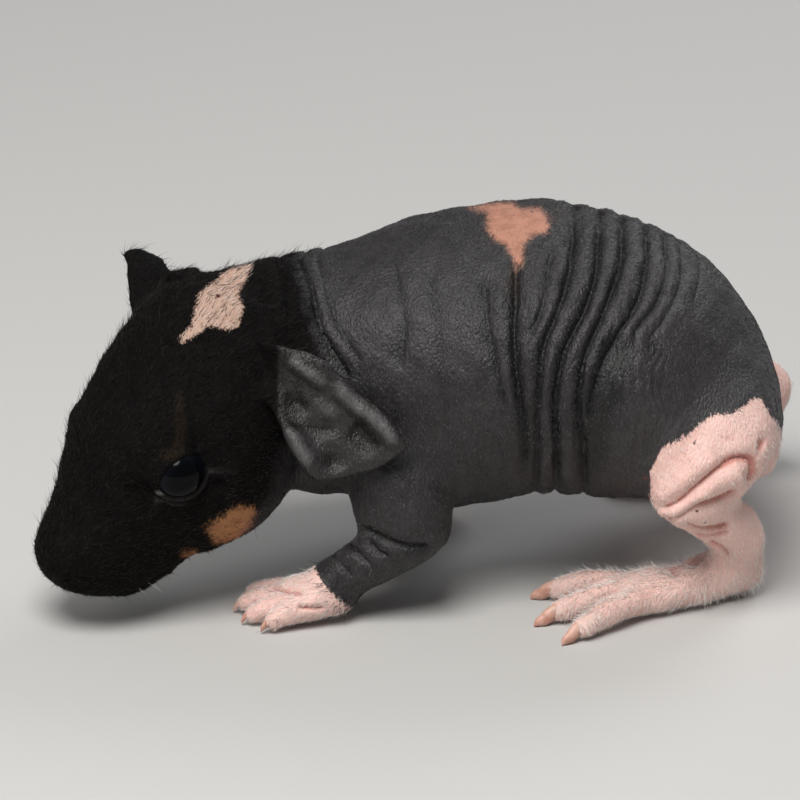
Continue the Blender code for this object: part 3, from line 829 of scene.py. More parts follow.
@dataclass(frozen=True)
class Ear:
    """An ear: a cupped leaf between two edges.

    Attributes:
        name: Its node's name.
        back_edge: Places along one edge, from root to end.
        front_edge: Places along the other.
        cup: How deep it is cupped.
        inner: The way that its cup faces.
        thickness: How thick the leaf is.
        end_bulge: How far its end is rounded out.
        relief: Ridges and hollows of its inner side, on the slanted side plane.
    """

    name: str
    back_edge: tuple[Place, ...]
    front_edge: tuple[Place, ...]
    cup: float
    inner: Place
    thickness: float = 0.95
    end_bulge: float = 2.4
    relief: tuple[Stroke, ...] = ()

    def leaf(self, across: int = 64, spans: int = 14) -> Array:
        """The middle surface of the ear, as rows of places from root to end.

        Args:
            across: Steps from edge to edge.
            spans: Rows to each span of the edges.

        Returns:
            Rows by steps by three.
        """
        back, front = smooth_rows(self.back_edge, spans), smooth_rows(self.front_edge, spans)
        along = unit(np.gradient(back + front, axis=0))
        share = np.linspace(0.0, 1.0, len(back))[:, None, None]
        over = np.linspace(0.0, 1.0, across + 1)[None, :, None]
        arch = np.sin(math.pi * over)
        places = back[:, None] * (1.0 - over) + front[:, None] * over
        places = places - unit(self.inner) * self.cup * arch * (1.0 - 0.45 * share)
        places = places + along[:, None] * self.end_bulge * arch * share**3
        flat = slanted(places.reshape(-1, 3))
        for stroke in self.relief:
            lift = stroke.shape(flat, smooth_rows(stroke.line, 4)).reshape(*places.shape[:2], 1)
            places = places + unit(self.inner) * lift
        return places

    def solid(self) -> Solid:
        """The leaf as a closed form with a rolled rim.

        Returns:
            The closed form.
        """
        leaf = self.leaf()
        count, across = leaf.shape[:2]
        normal = unit(np.cross(np.gradient(leaf, axis=0), np.gradient(leaf, axis=1)))
        over = np.abs(np.linspace(-1.0, 1.0, across))[None, :, None]
        out = np.linspace(0.0, 1.0, count)[:, None, None]
        half = 0.5 * self.thickness * (1.0 + 0.35 * hump(over - 0.86, 0.1))
        half = half * (1.0 - over**10) ** 0.5 * (1.0 - out**24) ** 0.5
        sheets = np.stack([leaf + normal * half, leaf - normal * half])
        faces: list[tuple[int, ...]] = []
        size = count * across
        for i in range(count - 1):
            for j in range(across - 1):
                a = i * across + j
                faces.append((a, a + 1, a + across + 1, a + across))
                faces.append((size + a, size + a + across, size + a + across + 1, size + a + 1))
        rim = [(0, j) for j in range(across)] + [(i, across - 1) for i in range(1, count)]
        rim += [(count - 1, j) for j in range(across - 2, -1, -1)] + [(i, 0) for i in range(count - 2, 0, -1)]
        for (i, j), (k, m) in zip(rim, rim[1:] + rim[:1]):
            a, b = i * across + j, k * across + m
            faces.append((a, b, size + b, size + a))
        return Solid(sheets.reshape(-1, 3), faces)


EARS = (
    Ear(
        "ear_left",
        back_edge=(
            (-20.6, -12.8, 37.6), (-16.4, -16.2, 38.0), (-10.6, -18.6, 37.2), (-5.4, -19.0, 32.8),
            (-1.2, -20.4, 29.6), (1.2, -21.4, 25.9),
        ),
        front_edge=(
            (-21.4, -14.6, 31.6), (-17.6, -18.3, 31.2), (-15.2, -20.2, 28.2), (-13.9, -21.2, 25.8),
            (-12.6, -21.8, 23.6), (-11.0, -22.2, 21.7),
        ),
        cup=1.7, inner=(-0.1, -0.93, 0.3), end_bulge=1.5,
        relief=(
            Stroke(
                ((-14.9, 27.4), (-12.8, 26.3), (-10.8, 25.0), (-8.6, 23.2)), 1.1, 0.8, Profile.ROUND,
                fade=2.0,
            ),
            Stroke(
                ((-8.6, 24.4), (-6.3, 22.1), (-2.6, 18.7), (0.3, 15.6)), 1.3, 1.0, Profile.ROUND, fade=2.4,
            ),
            Stroke(((-14.6, 19.2), (-10.9, 18.3), (-7.6, 18.2)), -1.3, 1.3),
            Stroke(((-15.0, 22.2), (-13.0, 21.5), (-11.0, 20.2)), -1.1, 1.6, Profile.ROUND),
            Stroke(((-6.5, 19.4), (-4.4, 17.2), (-2.6, 15.2)), -1.2, 1.6, Profile.ROUND),
            Stroke(((-14.6, 19.4), (-12.6, 16.2), (-10.9, 12.9)), 1.3, 0.95, Profile.ROUND, fade=1.8),
            Stroke(((-10.2, 15.6), (-8.6, 14.2), (-7.4, 12.6)), -0.9, 1.3, Profile.ROUND),
            Stroke(((-12.4, 23.4), (-9.6, 20.8), (-7.0, 19.8)), 0.7, 0.9, Profile.ROUND),
        ),
    ),
    Ear(
        "ear_right",
        back_edge=(
            (-27.4, -0.4, 35.0), (-28.8, 3.6, 38.9), (-30.2, 6.4, 39.5), (-27.6, 10.2, 35.0),
            (-23.8, 13.2, 32.2), (-23.4, 14.4, 29.0),
        ),
        front_edge=(
            (-33.8, -1.4, 33.6), (-35.0, 2.8, 39.4), (-35.2, 5.6, 40.7), (-35.0, 9.4, 38.4),
            (-34.0, 12.6, 33.6), (-33.0, 14.4, 30.2),
        ),
        cup=-2.0, inner=(-0.5, 0.5, 0.7),
    ),
)


@dataclass(frozen=True)
class Opening:
    """Where points lie against the opening between the lids, in millimetres along the ball.

    Attributes:
        out: How far each lies outside the opening, below zero inside it.
        distance: Its distance from the ball's centre.
        angle: Its angle from the outward way, in radians.
        along: Its place along the opening, towards the nose.
        across: Its place across the opening, towards the crown.
    """

    out: Array
    distance: Array
    angle: Array
    along: Array
    across: Array

    def near(self, radius: float, degrees: float) -> Array:
        """Which points lie on the lids round the opening."""
        return (self.distance < radius + 2.0) & (self.angle < math.radians(degrees))


@dataclass(frozen=True)
class Eye:
    """One eye and the lids over it.

    Attributes:
        side: -1 for the left eye, 1 for the right one.
        radius: The ball's radius.
        place: Its centre as a head place, for the right side.
        aim: How far it looks ahead and up, for each part that it looks aside.
        tilt: How far the opening's long way is turned up from forward, in degrees.
        half_length: Half the opening's length, along the ball.
        half_width: Half its width above and below the middle, along the ball.
        lid: How thick the lids are.
    """

    side: int
    radius: float = 3.7
    place: Place = (-0.35, 9.05, 3.15)
    aim: Spot = (0.12, 0.18)
    tilt: float = 14.5
    half_length: float = 4.3
    half_width: Spot = (2.7, 2.3)
    lid: float = 0.3

    @property
    def centre(self) -> Array:
        """The ball's centre."""
        forward, right, up = self.place
        return HEAD.place((forward, right * self.side, up))

    @property
    def node(self) -> str:
        """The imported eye's name."""
        return "eye_left" if self.side < 0 else "eye_right"

    def axes(self) -> Array:
        """Rows for along the opening, across it towards the crown, and outwards.

        Returns:
            Three unit vectors, one a row.
        """
        forward, right, crown = HEAD.table
        out = unit(right * self.side + forward * self.aim[0] + crown * self.aim[1])
        turn = math.radians(self.tilt)
        along = forward * math.cos(turn) + crown * math.sin(turn)
        along = unit(along - out * (along @ out))
        across = np.cross(out, along)
        return np.array([along, across * np.sign(across @ crown), out])

    def opening(self, points: Array) -> Opening:
        """Where pup places lie against the opening between the lids.

        Args:
            points: Pup places.

        Returns:
            Where each lies.
        """
        distance = away(points, self.centre)
        way = unit(points - self.centre) @ self.axes().T
        angle = np.arccos(np.clip(way[:, 2], -1.0, 1.0))
        flat = np.maximum(np.hypot(way[:, 0], way[:, 1]), 1e-6)
        along, across = way[:, 0] / flat * angle * self.radius, way[:, 1] / flat * angle * self.radius
        half = np.where(across > 0.0, *self.half_width)
        share = np.clip(np.abs(along) / self.half_length, 0.0, 1.0)
        edge = np.abs(across) - half * (1.0 - share**2.3) ** 0.8
        corner = np.hypot(np.abs(along) - self.half_length, across)
        return Opening(np.where(share < 1.0, edge, corner), distance, angle, along, across)

    def fit_lids(self, points: Array) -> Array:
        """Points moved so that they lie on the lids, or behind the ball inside the opening.

        Args:
            points: Pup places.

        Returns:
            The moved points.
        """
        seen = self.opening(points)
        out = seen.out
        lid = self.radius + 0.1 + self.lid * smoothstep(0.0, 0.45, out)
        crease = hump(out - 1.3, 0.2) + 0.7 * hump(out - 2.1, 0.22)
        lid = lid - 0.17 * crease * (1.0 + 0.5 * smoothstep(0.5, -1.5, seen.across))
        blend = smoothstep(0.9, 3.6, out)
        target = np.where(out < 0.0, self.radius - 0.6, lid * (1.0 - blend) + seen.distance * blend)
        near = (seen.distance < self.radius + 4.0) & (seen.angle < math.radians(115.0)) & (out < 3.6)
        moved = self.centre + unit(points - self.centre) * target[:, None]
        return np.where(near[:, None], moved, points)


EYES = (Eye(-1), Eye(1))


@dataclass(frozen=True)
class Valley:
    """The valley between two folds that run down both flanks.

    Attributes:
        line: Up on the slanted plane, and X, from the top down.
        depth: How deep it is.
        reach: How far each side rises away from it where no other valley is nearer.
        tail: The length over which its lower end dies away.
    """

    line: tuple[Spot, ...]
    depth: float
    reach: float = 2.0
    tail: float = 4.0

    def at(self, up: Array) -> tuple[Array, Array, Array]:
        """Its X, its slope and how much of it there is, at heights on the slanted plane.

        Args:
            up: Heights on the slanted plane.

        Returns:
            Its X, its slope and its share, one of each a height.
        """
        table = smooth_rows(self.line, 5)[::-1]
        low, high = table[0, 0], table[-1, 0]
        slope = np.interp(up, table[:, 0], np.gradient(table[:, 1], table[:, 0]))
        share = smoothstep(low - self.tail, low + 1.5, up)
        if high < OVER_BACK[0]:
            share = share * (1.0 - smoothstep(high - 1.5, high + 2.5, up))
        else:
            share = share * (1.0 - 0.55 * smoothstep(*OVER_BACK, up))
        return np.interp(up, table[:, 0], table[:, 1]), slope, share


OVER_BACK = (42.0, 45.0)  # heights on the slanted plane between which a valley fades over the back
VALLEYS = (
    Valley(((41.0, -16.5), (37.0, -15.0), (33.0, -14.0)), depth=0.5, reach=1.6),
    Valley(((41.0, -13.6), (36.8, -11.3), (31.3, -9.9), (25.1, -6.8)), depth=0.85, reach=2.8),
    Valley(((39.8, -10.6), (36.0, -9.4), (31.0, -7.6), (27.0, -5.4)), depth=0.4, reach=1.4),
    Valley(((39.4, -1.0), (36.3, -0.2), (30.6, 0.4), (26.5, 0.1)), depth=0.45, reach=3.0),
    Valley(((38.0, 4.2), (32.0, 4.6), (26.0, 5.0), (20.0, 5.6)), depth=0.35, reach=2.6),
    Valley(((36.8, 10.4), (30.6, 11.0), (25.1, 12.3), (21.3, 13.2)), depth=0.6, reach=2.2),
    Valley(((38.6, 14.5), (31.9, 14.2), (24.6, 14.5), (18.6, 15.3), (13.5, 15.7)), depth=1.3, reach=2.2),
    Valley(((40.1, 19.0), (37.0, 18.5), (33.7, 17.8), (31.0, 17.0)), depth=0.6, reach=1.4),
    Valley(
        ((42.8, 22.0), (38.8, 21.4), (32.8, 19.6), (29.5, 18.4), (23.1, 17.5), (17.1, 17.1), (12.0, 17.2)),
        depth=1.15, tail=6.0,
    ),
    Valley(
        ((43.7, 25.4), (38.2, 24.8), (33.1, 23.0), (29.2, 21.2), (23.5, 19.6), (18.6, 19.3), (12.0, 19.7)),
        depth=1.3, tail=6.0,
    ),
    Valley(
        ((44.4, 28.4), (39.7, 28.1), (35.5, 26.6), (30.6, 24.5), (26.2, 23.0), (21.7, 22.4), (12.0, 23.3)),
        depth=1.25, tail=6.0,
    ),
    Valley(((44.4, 31.4), (40.4, 31.4), (34.6, 30.2), (30.1, 27.5), (25.3, 25.1), (20.4, 23.6)), depth=0.95),
    Valley(((44.0, 33.7), (38.2, 33.8), (34.4, 32.6), (30.6, 29.6)), depth=0.6),
    Valley(((44.0, 36.0), (36.2, 35.4), (31.9, 33.2), (29.5, 31.4)), depth=0.42, reach=1.6),
    Valley(((44.0, 38.4), (38.0, 38.2), (34.4, 37.2)), depth=0.28, reach=1.6),
)


def pleats(points: Array) -> Array:
    """How far the trunk's folds move each point along its normal.

    Args:
        points: Pup places.

    Returns:
        Millimetres, below zero in the valleys.
    """
    up = points[:, 2] * math.cos(SLANT) - np.abs(points[:, 1] - 0.3) * math.sin(SLANT)
    drift = wobble(points * np.array([0.0, 1.0, 1.0]), 16.0, 3) * smoothstep(0.0, 8.0, points[:, 1])
    drift += 0.12 * wobble(points, 9.0, 4)
    found = [valley.at(up) for valley in VALLEYS]
    lift = np.zeros(len(points))
    for i, (valley, (middle, slope, share)) in enumerate(zip(VALLEYS, found)):
        level = np.sqrt(1.0 + slope**2)
        gap = (points[:, 0] - middle - drift) / level
        for way, other in ((-1.0, i - 1), (1.0, i + 1)):
            width = np.full(len(points), valley.reach)
            if 0 <= other < len(found):
                spacing = np.maximum(np.abs(found[other][0] - middle) / level / 2.0, 0.3)
                width += (np.minimum(width, spacing) - width) * found[other][2]
            side = np.where(gap * way > 0.0, pleat(gap * way / width), 0.0)
            lift -= valley.depth * share * side
        lift -= np.where(gap == 0.0, valley.depth * share, 0.0)
    ripple = np.sin(2.0 * math.pi * (points[:, 0] + 0.8 * wobble(points, 5.0, 5)) / 1.3)
    where = smoothstep(9.0, 14.0, points[:, 0]) * smoothstep(38.0, 32.0, points[:, 0])
    return lift + 0.05 * ripple * where


def head_line(*places: Spot) -> tuple[Row, ...]:
    """Head places for a line drawn on the muzzle, from forward and degrees from the right side up."""
    return tuple(tuple(TORSO.on_muzzle(*place)) for place in places)


MOUTH = head_line((9.0, -38.0), (11.0, -36.0), (13.4, -39.0), (15.6, -48.0), (16.9, -66.0), (17.4, -90.0))
CLEFT = head_line((17.4, -90.0), (18.3, -90.0), (19.1, -90.0))
NOSTRIL = head_line((19.1, 8.0), (18.6, 20.0), (17.9, 34.0))
# Soft swells of the neck and of the left upper arm: middle and half sizes.
SWELLS = (((-9.5, -3.0, 18.2), (7.5, 11.0, 4.7)), ((-3.3, -16.3, 15.6), (3.5, 2.8, 4.2)))
LEG_CREASES = (
    Stroke(
        (
            (32.2, 8.1), (34.4, 8.7), (37.3, 11.0), (40.1, 13.3), (42.8, 14.6), (44.4, 14.2), (44.6, 12.6),
            (43.7, 11.0),
        ),
        -1.1, 1.6,
    ),
    Stroke(((32.3, 6.7), (35.1, 7.1), (37.3, 8.5), (40.5, 9.4), (43.2, 10.8)), -0.9, 1.4),
    Stroke(((35.2, 6.6), (38.2, 5.5), (42.4, 6.2)), -0.75, 1.1),
    Stroke(((36.9, 4.7), (39.0, 4.5), (42.2, 5.1)), -0.55, 0.9, fade=0.8),
    Stroke(((38.9, 3.9), (41.0, 2.9), (42.2, 1.6)), -0.7, 1.3, fade=0.8),
    Stroke(((44.9, 16.4), (45.6, 16.3), (46.3, 16.0)), -0.6, 1.0, Profile.ROUND, fade=0.6),
    Stroke(((38.6, 18.6), (40.6, 17.2), (43.0, 16.6)), -0.22, 1.0),
    Stroke(((24.5, -3.7), (26.8, -2.6), (28.6, -1.9)), -0.45, 0.8, fade=1.0),
)
LEG_LOBES = (
    Stroke(((31.8, 9.4), (34.4, 10.6), (37.6, 13.0), (40.4, 15.2)), 0.55, 1.4, Profile.ROUND),
    Stroke(
        ((31.9, 7.2), (35.0, 8.0), (38.4, 10.2), (42.0, 12.2), (43.6, 12.6)), 0.6, 1.1, Profile.ROUND,
        fade=1.0,
    ),
    Stroke(((33.6, 6.0), (37.6, 7.0), (41.6, 8.0)), 0.35, 0.9, Profile.ROUND),
)
SHARED_CREASES = (
    Stroke(((28.5, 31.5), (25.5, 23.5), (23.9, 16.5), (24.9, 9.7)), -0.9, 2.2, Profile.ROUND, fade=4.0),
)
STROKES = (
    Stroke(MOUTH, -0.75, 0.9, side=0, fade=1.0), Stroke(CLEFT, -0.5, 0.7, side=0, fade=0.4),
    Stroke(NOSTRIL, -0.95, 0.8, side=0, fade=0.5),
    Stroke(
        ((9.4, 6.0, -8.7), (7.9, 6.1, -9.1), (6.7, 6.3, -9.5), (5.4, 6.6, -10.1), (4.0, 6.8, -10.7)), -1.2,
        1.7, Profile.ROUND, side=0, fade=1.8,
    ),
    Stroke(
        ((-19.6, 6.0, 10.6), (-21.2, 6.6, 9.4), (-22.3, 6.5, 8.4), (-23.6, 5.6, 7.8)), 0.95, 1.9,
        Profile.ROUND, side=0, fade=0.8,
    ),
    Stroke(
        ((-24.0, 7.4, 6.2), (-24.7, 5.4, 6.8), (-25.1, 3.4, 7.3), (-25.3, 2.0, 7.6)), -0.75, 1.5,
        Profile.ROUND, side=0, fade=0.8,
    ),
    Stroke(((-5.3, 6.0), (-3.2, 4.7), (-0.6, 3.7), (2.1, 3.1), (4.4, 3.4)), -1.1, 1.5),
    Stroke(((-6.9, 4.4), (-5.0, 2.2), (-3.3, 0.6)), -0.7, 1.0),
    Stroke(((-4.6, 4.6), (-2.9, 2.8), (-0.8, 1.7)), -0.7, 1.0),
    Stroke(((-9.0, 3.4), (-7.3, 0.8), (-5.4, -1.3)), -0.35, 0.9),
    Stroke(((-17.4, -1.8), (-15.1, -2.2), (-12.0, -2.6)), -0.8, 0.8, fade=1.0),
    Stroke(((-13.5, -4.2), (-11.5, -4.5), (-9.2, -4.4)), -0.85, 0.8, fade=1.0), *LEG_CREASES, *LEG_LOBES,
    *SHARED_CREASES, *(replace(stroke, side=1) for stroke in LEG_CREASES[:3] + SHARED_CREASES),
)


class Tone(enum.Enum):
    """The colour groups of the markings."""

    PALE = "pale"
    TAN = "tan"
    FAINT = "faint"


@dataclass(frozen=True)
class Patch:
    """A marking drawn on the left flank.

    Attributes:
        tone: Its colour group.
        outline: Its corners on the slanted side plane.
    """

    tone: Tone
    outline: tuple[Spot, ...]

    def gap(self, points: Array, skin: BVHTree) -> Array:
        """How far each point lies outside the patch, below zero inside it.

        Args:
            points: Pup places.
            skin: The skin's faces, in pup places.

        Returns:
            Millimetres, up to FAR.
        """
        hits = np.array([on_skin(skin, *corner) for corner in self.outline])
        middle = np.mean(hits, axis=0)
        reach = away(hits, middle).max() + 3.0
        gaps = np.full(len(points), FAR)
        far = away(points, middle)
        near = far < reach
        gaps[near] = outline_gap(slanted(points[near]), np.array(self.outline))
        gaps[near] = np.maximum(gaps[near], far[near] - reach + 1.0)
        return np.minimum(gaps, FAR)


def outline_gap(places: Array, corners: Array) -> Array:
    """How far flat places lie outside a closed outline, below zero inside it.

    Args:
        places: Flat places, one a row.
        corners: The outline's corners.

    Returns:
        Millimetres, one a place.
    """
    gap = np.full(len(places), np.inf)
    inside = np.zeros(len(places), bool)
    for start, end in zip(corners, np.roll(corners, -1, axis=0)):
        run = end - start
        share = np.clip((places - start) @ run / max(run @ run, 1e-9), 0.0, 1.0)
        gap = np.minimum(gap, np.linalg.norm(places - start - share[:, None] * run, axis=1))
        crosses = (start[1] > places[:, 1]) != (end[1] > places[:, 1])
        rise = run[1] if abs(run[1]) > 1e-9 else 1e-9
        inside ^= crosses & (places[:, 0] < start[0] + (places[:, 1] - start[1]) * run[0] / rise)
    return np.where(inside, -gap, gap)


MARKS = (
    Patch(
        Tone.PALE,
        (
            (-25.4, 35.4), (-23.2, 37.3), (-21.9, 38.6), (-18.7, 39.6), (-19.4, 37.3), (-20.4, 35.4),
            (-19.7, 33.2), (-20.4, 31.0), (-21.9, 30.6), (-23.8, 31.3), (-26.4, 31.0),
        ),
    ),
    Patch(Tone.PALE, ((-25.6, 31.9), (-28.0, 29.5), (-27.4, 28.9), (-24.6, 30.7))),
    Patch(
        Tone.TAN,
        (
            (8.7, 46.4), (10.8, 47.1), (14.4, 47.2), (15.3, 46.4), (17.8, 46.4), (19.0, 45.1), (18.6, 43.1),
            (16.4, 42.4), (15.6, 41.2), (15.3, 39.1), (14.6, 38.2), (14.2, 39.7), (13.1, 41.5), (11.7, 42.3),
            (10.9, 44.0), (11.0, 45.6),
        ),
    ),
    Patch(
        Tone.TAN,
        (
            (-24.7, 5.8), (-22.8, 7.1), (-20.6, 8.5), (-18.6, 8.6), (-18.2, 7.6), (-18.8, 5.9), (-20.5, 4.1),
            (-22.1, 3.5), (-23.5, 3.7),
        ),
    ),
    Patch(Tone.FAINT, ((-28.2, 22.6), (-27.4, 22.9), (-26.9, 19.0), (-27.2, 15.1), (-28.4, 15.1))),
    Patch(Tone.FAINT, ((-29.9, 15.6), (-28.1, 15.6), (-28.1, 14.6), (-29.9, 14.6))),
    Patch(Tone.FAINT, ((19.4, 46.2), (20.6, 46.4), (21.2, 45.2), (20.6, 44.4), (19.4, 44.6))),
    Patch(Tone.FAINT, ((13.6, 38.6), (14.6, 38.4), (14.9, 35.6), (14.2, 34.2), (13.4, 36.0))),
    Patch(Tone.TAN, ((-27.6, 2.9), (-25.9, 3.0), (-25.7, 1.3), (-27.4, 1.1))),
)
# Across and up on the left flank's plane, and radius.
MOLES = (
    (-22.9, 35.1, 0.42), (-23.8, 34.4, 0.24), (-7.7, -5.1, 0.22), (37.2, 16.5, 0.36), (36.7, 14.2, 0.3),
    (37.4, 7.8, 0.3), (38.6, 6.4, 0.28), (30.9, 12.1, 0.4), (16.8, 45.8, 0.3),
)
# The upper edge of the hind legs' pink: across and up.
HAUNCH_EDGE = (
    (31.4, 12.6), (33.2, 15.9), (36.0, 17.4), (39.0, 19.9), (43.2, 20.8), (43.8, 21.4), (45.4, 22.2),
    (46.5, 20.4), (48.7, 18.3),
)
# Where long hairs stand in tufts: a place and how far round it.
TUFTS = (
    (-16.9, -3.0, 45.0, 1.7), (-12.6, -2.4, 44.8, 1.7), (-36.2, -2.6, 34.4, 2.2), (-45.4, -21.4, 11.6, 2.4),
)
# Head places on the right side that whiskers grow from.
WHISKERS = ((11.6, 6.0, -5.6), (12.6, 5.8, -5.4))
FUZZ_SPLIT = 18.0  # the X where the body's fuzz is parted into two pieces
HAUNCH_FRONT = 31.6  # the front of the hind legs' pink
FAR_DROP = 3.5  # how much lower that pink starts on the right leg
LEG_REACH = 6.5  # how far a leg's pink reaches from its middle
# The border between head and neck: up on a slanted plane, and X.
HEAD_BORDER = (
    (-1.0, -27.0), (2.0, -21.0), (10.0, -15.5), (16.0, -13.5), (22.0, -10.5), (27.0, -8.5), (31.3, -9.9),
    (36.8, -11.3), (40.6, -12.6),
)


@dataclass
class Skin:
    """The one skin over head, trunk, legs, feet and ears.

    Attributes:
        fine: The grid that the whole form is fused on.
        trial: The same for a quick trial; not used.
        coarse: The grid that the trunk and the legs are fused on first.
        limit: The most triangles that it may have.
        brow: How far the lids' mounds stand out round each eye.
        obj: The finished skin.
    """

    fine: float = 0.25
    trial: float = 0.45
    coarse: float = 0.6
    limit: int = 194_000
    brow: float = 0.75
    obj: bpy.types.Object | None = None

    @staticmethod
    def fuse(obj: bpy.types.Object, size: float) -> None:
        """Fuses an object's forms into one surface on a grid.

        Args:
            obj: The object to change.
            size: The grid's step in millimetres.
        """
        grid = obj.modifiers.new("fuse", "REMESH")
        grid.mode = "VOXEL"
        grid.voxel_size = size * MM
        bake(obj)

    @staticmethod
    def soften(obj: bpy.types.Object, zones: Sequence[tuple[Any, float]], base: float, times: int) -> None:
        """Rounds the surface off, most of all near some places.

        Args:
            obj: The object to change.
            zones: Places and how far round each to reach.
            base: The weight everywhere else.
            times: How often.
        """
        points = read(obj)
        weight = np.full(len(points), base)
        for centre, radius in zones:
            weight = np.maximum(weight, hump(away(points, np.asarray(centre, float)[:3]), radius, 4))
        write(obj, relax(points, edges_of(obj), weight, times))

    def rough(self) -> bpy.types.Object:
        """Head, trunk and legs fused, with soft shoulders, hips, elbows and knees.

        Returns:
            The object that holds them.
        """
        solids = [TORSO.solid(), *(ball(centre, radii) for centre, radii in SWELLS)]
        zones: list[tuple[Any, float]] = []
        for leg in LEGS:
            solids += leg.solids()
            zones += [(leg.upper[0], 12.0), (leg.upper[1], 10.0), (leg.upper[2], 8.0)]
            zones += [(leg.lower[0], 5.0), (leg.lower[-1], 4.0)]
        obj = mesh_of("skin", solids)
        self.fuse(obj, self.coarse)
        self.soften(obj, zones, base=0.1, times=60)
        return obj

    def solids(self, obj: bpy.types.Object) -> Iterable[Solid]:
        """The rough form again, with the toes, the ears and the mounds round the eyes.

        Args:
            obj: The rough form.

        Returns:
            One closed form after the other.
        """
        yield Solid(read(obj), faces_of(obj))
        for leg in LEGS:
            yield from leg.foot.toe_solids()
        for ear in EARS:
            yield ear.solid()
        for eye in EYES:
            yield ball(eye.centre, eye.radius + self.brow)

    def build(self) -> None:
        """Makes the skin's mesh with its folds and lids."""
        rough = self.rough()
        obj = mesh_of("skin_whole", self.solids(rough))
        bpy.data.objects.remove(rough)
        self.fuse(obj, self.fine)
        zones: list[tuple[Any, float]] = [(eye.centre, 5.5) for eye in EYES]
        for leg in LEGS:
            zones += [(leg.foot.toe_rows(toe)[0][0], 2.6) for toe in leg.foot.toes]
        for ear in EARS:
            zones += [(place, 2.8) for place in (ear.back_edge[0], ear.front_edge[0], ear.front_edge[1])]
        self.soften(obj, zones, base=0.35, times=16)
        self.fold(obj)
        self.thin(obj)
        shade_smooth(obj)
        self.obj = obj
        LOG.info("skin: %d faces", len(obj.data.polygons))

    def fold(self, obj: bpy.types.Object) -> None:
        """Lays the folds, creases and lids into the surface.

        Args:
            obj: The object to change.
        """
        points = read(obj)
        normals = unit(relax(normals_of(obj), edges_of(obj), np.full(len(points), 0.7), 8))
        off_legs = smoothstep(7.0, 12.0, points[:, 2])
        lift = pleats(points) * off_legs * self.trunk_share(points)
        lift = lift + sum(stroke.height(points, normals) for stroke in STROKES)
        lift = lift + 0.1 * wobble(points, 5.0, 11) + 0.025 * wobble(points, 2.2, 12)
        points = points + normals * lift[:, None]
        for eye in EYES:
            points = eye.fit_lids(points)
        points[:, 2] = np.maximum(points[:, 2], 0.0)
        write(obj, points)
        # The folds' depth, which the colours also use to paint shade into the creases.
        set_attribute(obj, "crease", np.clip(-lift, 0.0, 2.0))

    @staticmethod
    def trunk_share(points: Array) -> Array:
        """1 away from the ears, and 0 on them.

        Args:
            points: Pup places.

        Returns:
            Values from 0 to 1, one a point.
        """
        share = np.ones(len(points))
        for ear in EARS:
            middle = ear.leaf(12, 2).reshape(-1, 3)
            near = away(points, middle.mean(axis=0)) < 20.0
            gap = np.full(len(points), FAR)
            gap[near] = np.min([away(points[near], place) for place in middle], axis=0)
            share = np.minimum(share, smoothstep(1.4, 3.0, gap))
        return share

    def thin(self, obj: bpy.types.Object) -> None:
        """Brings the mesh under its most triangles.

        Args:
            obj: The object to change.
        """
        obj.modifiers.new("split", "TRIANGULATE")
        triangles = sum(len(face.vertices) - 2 for face in obj.data.polygons)
        cut = obj.modifiers.new("thin", "DECIMATE")
        cut.ratio = min(1.0, self.limit / triangles)
        bake(obj)


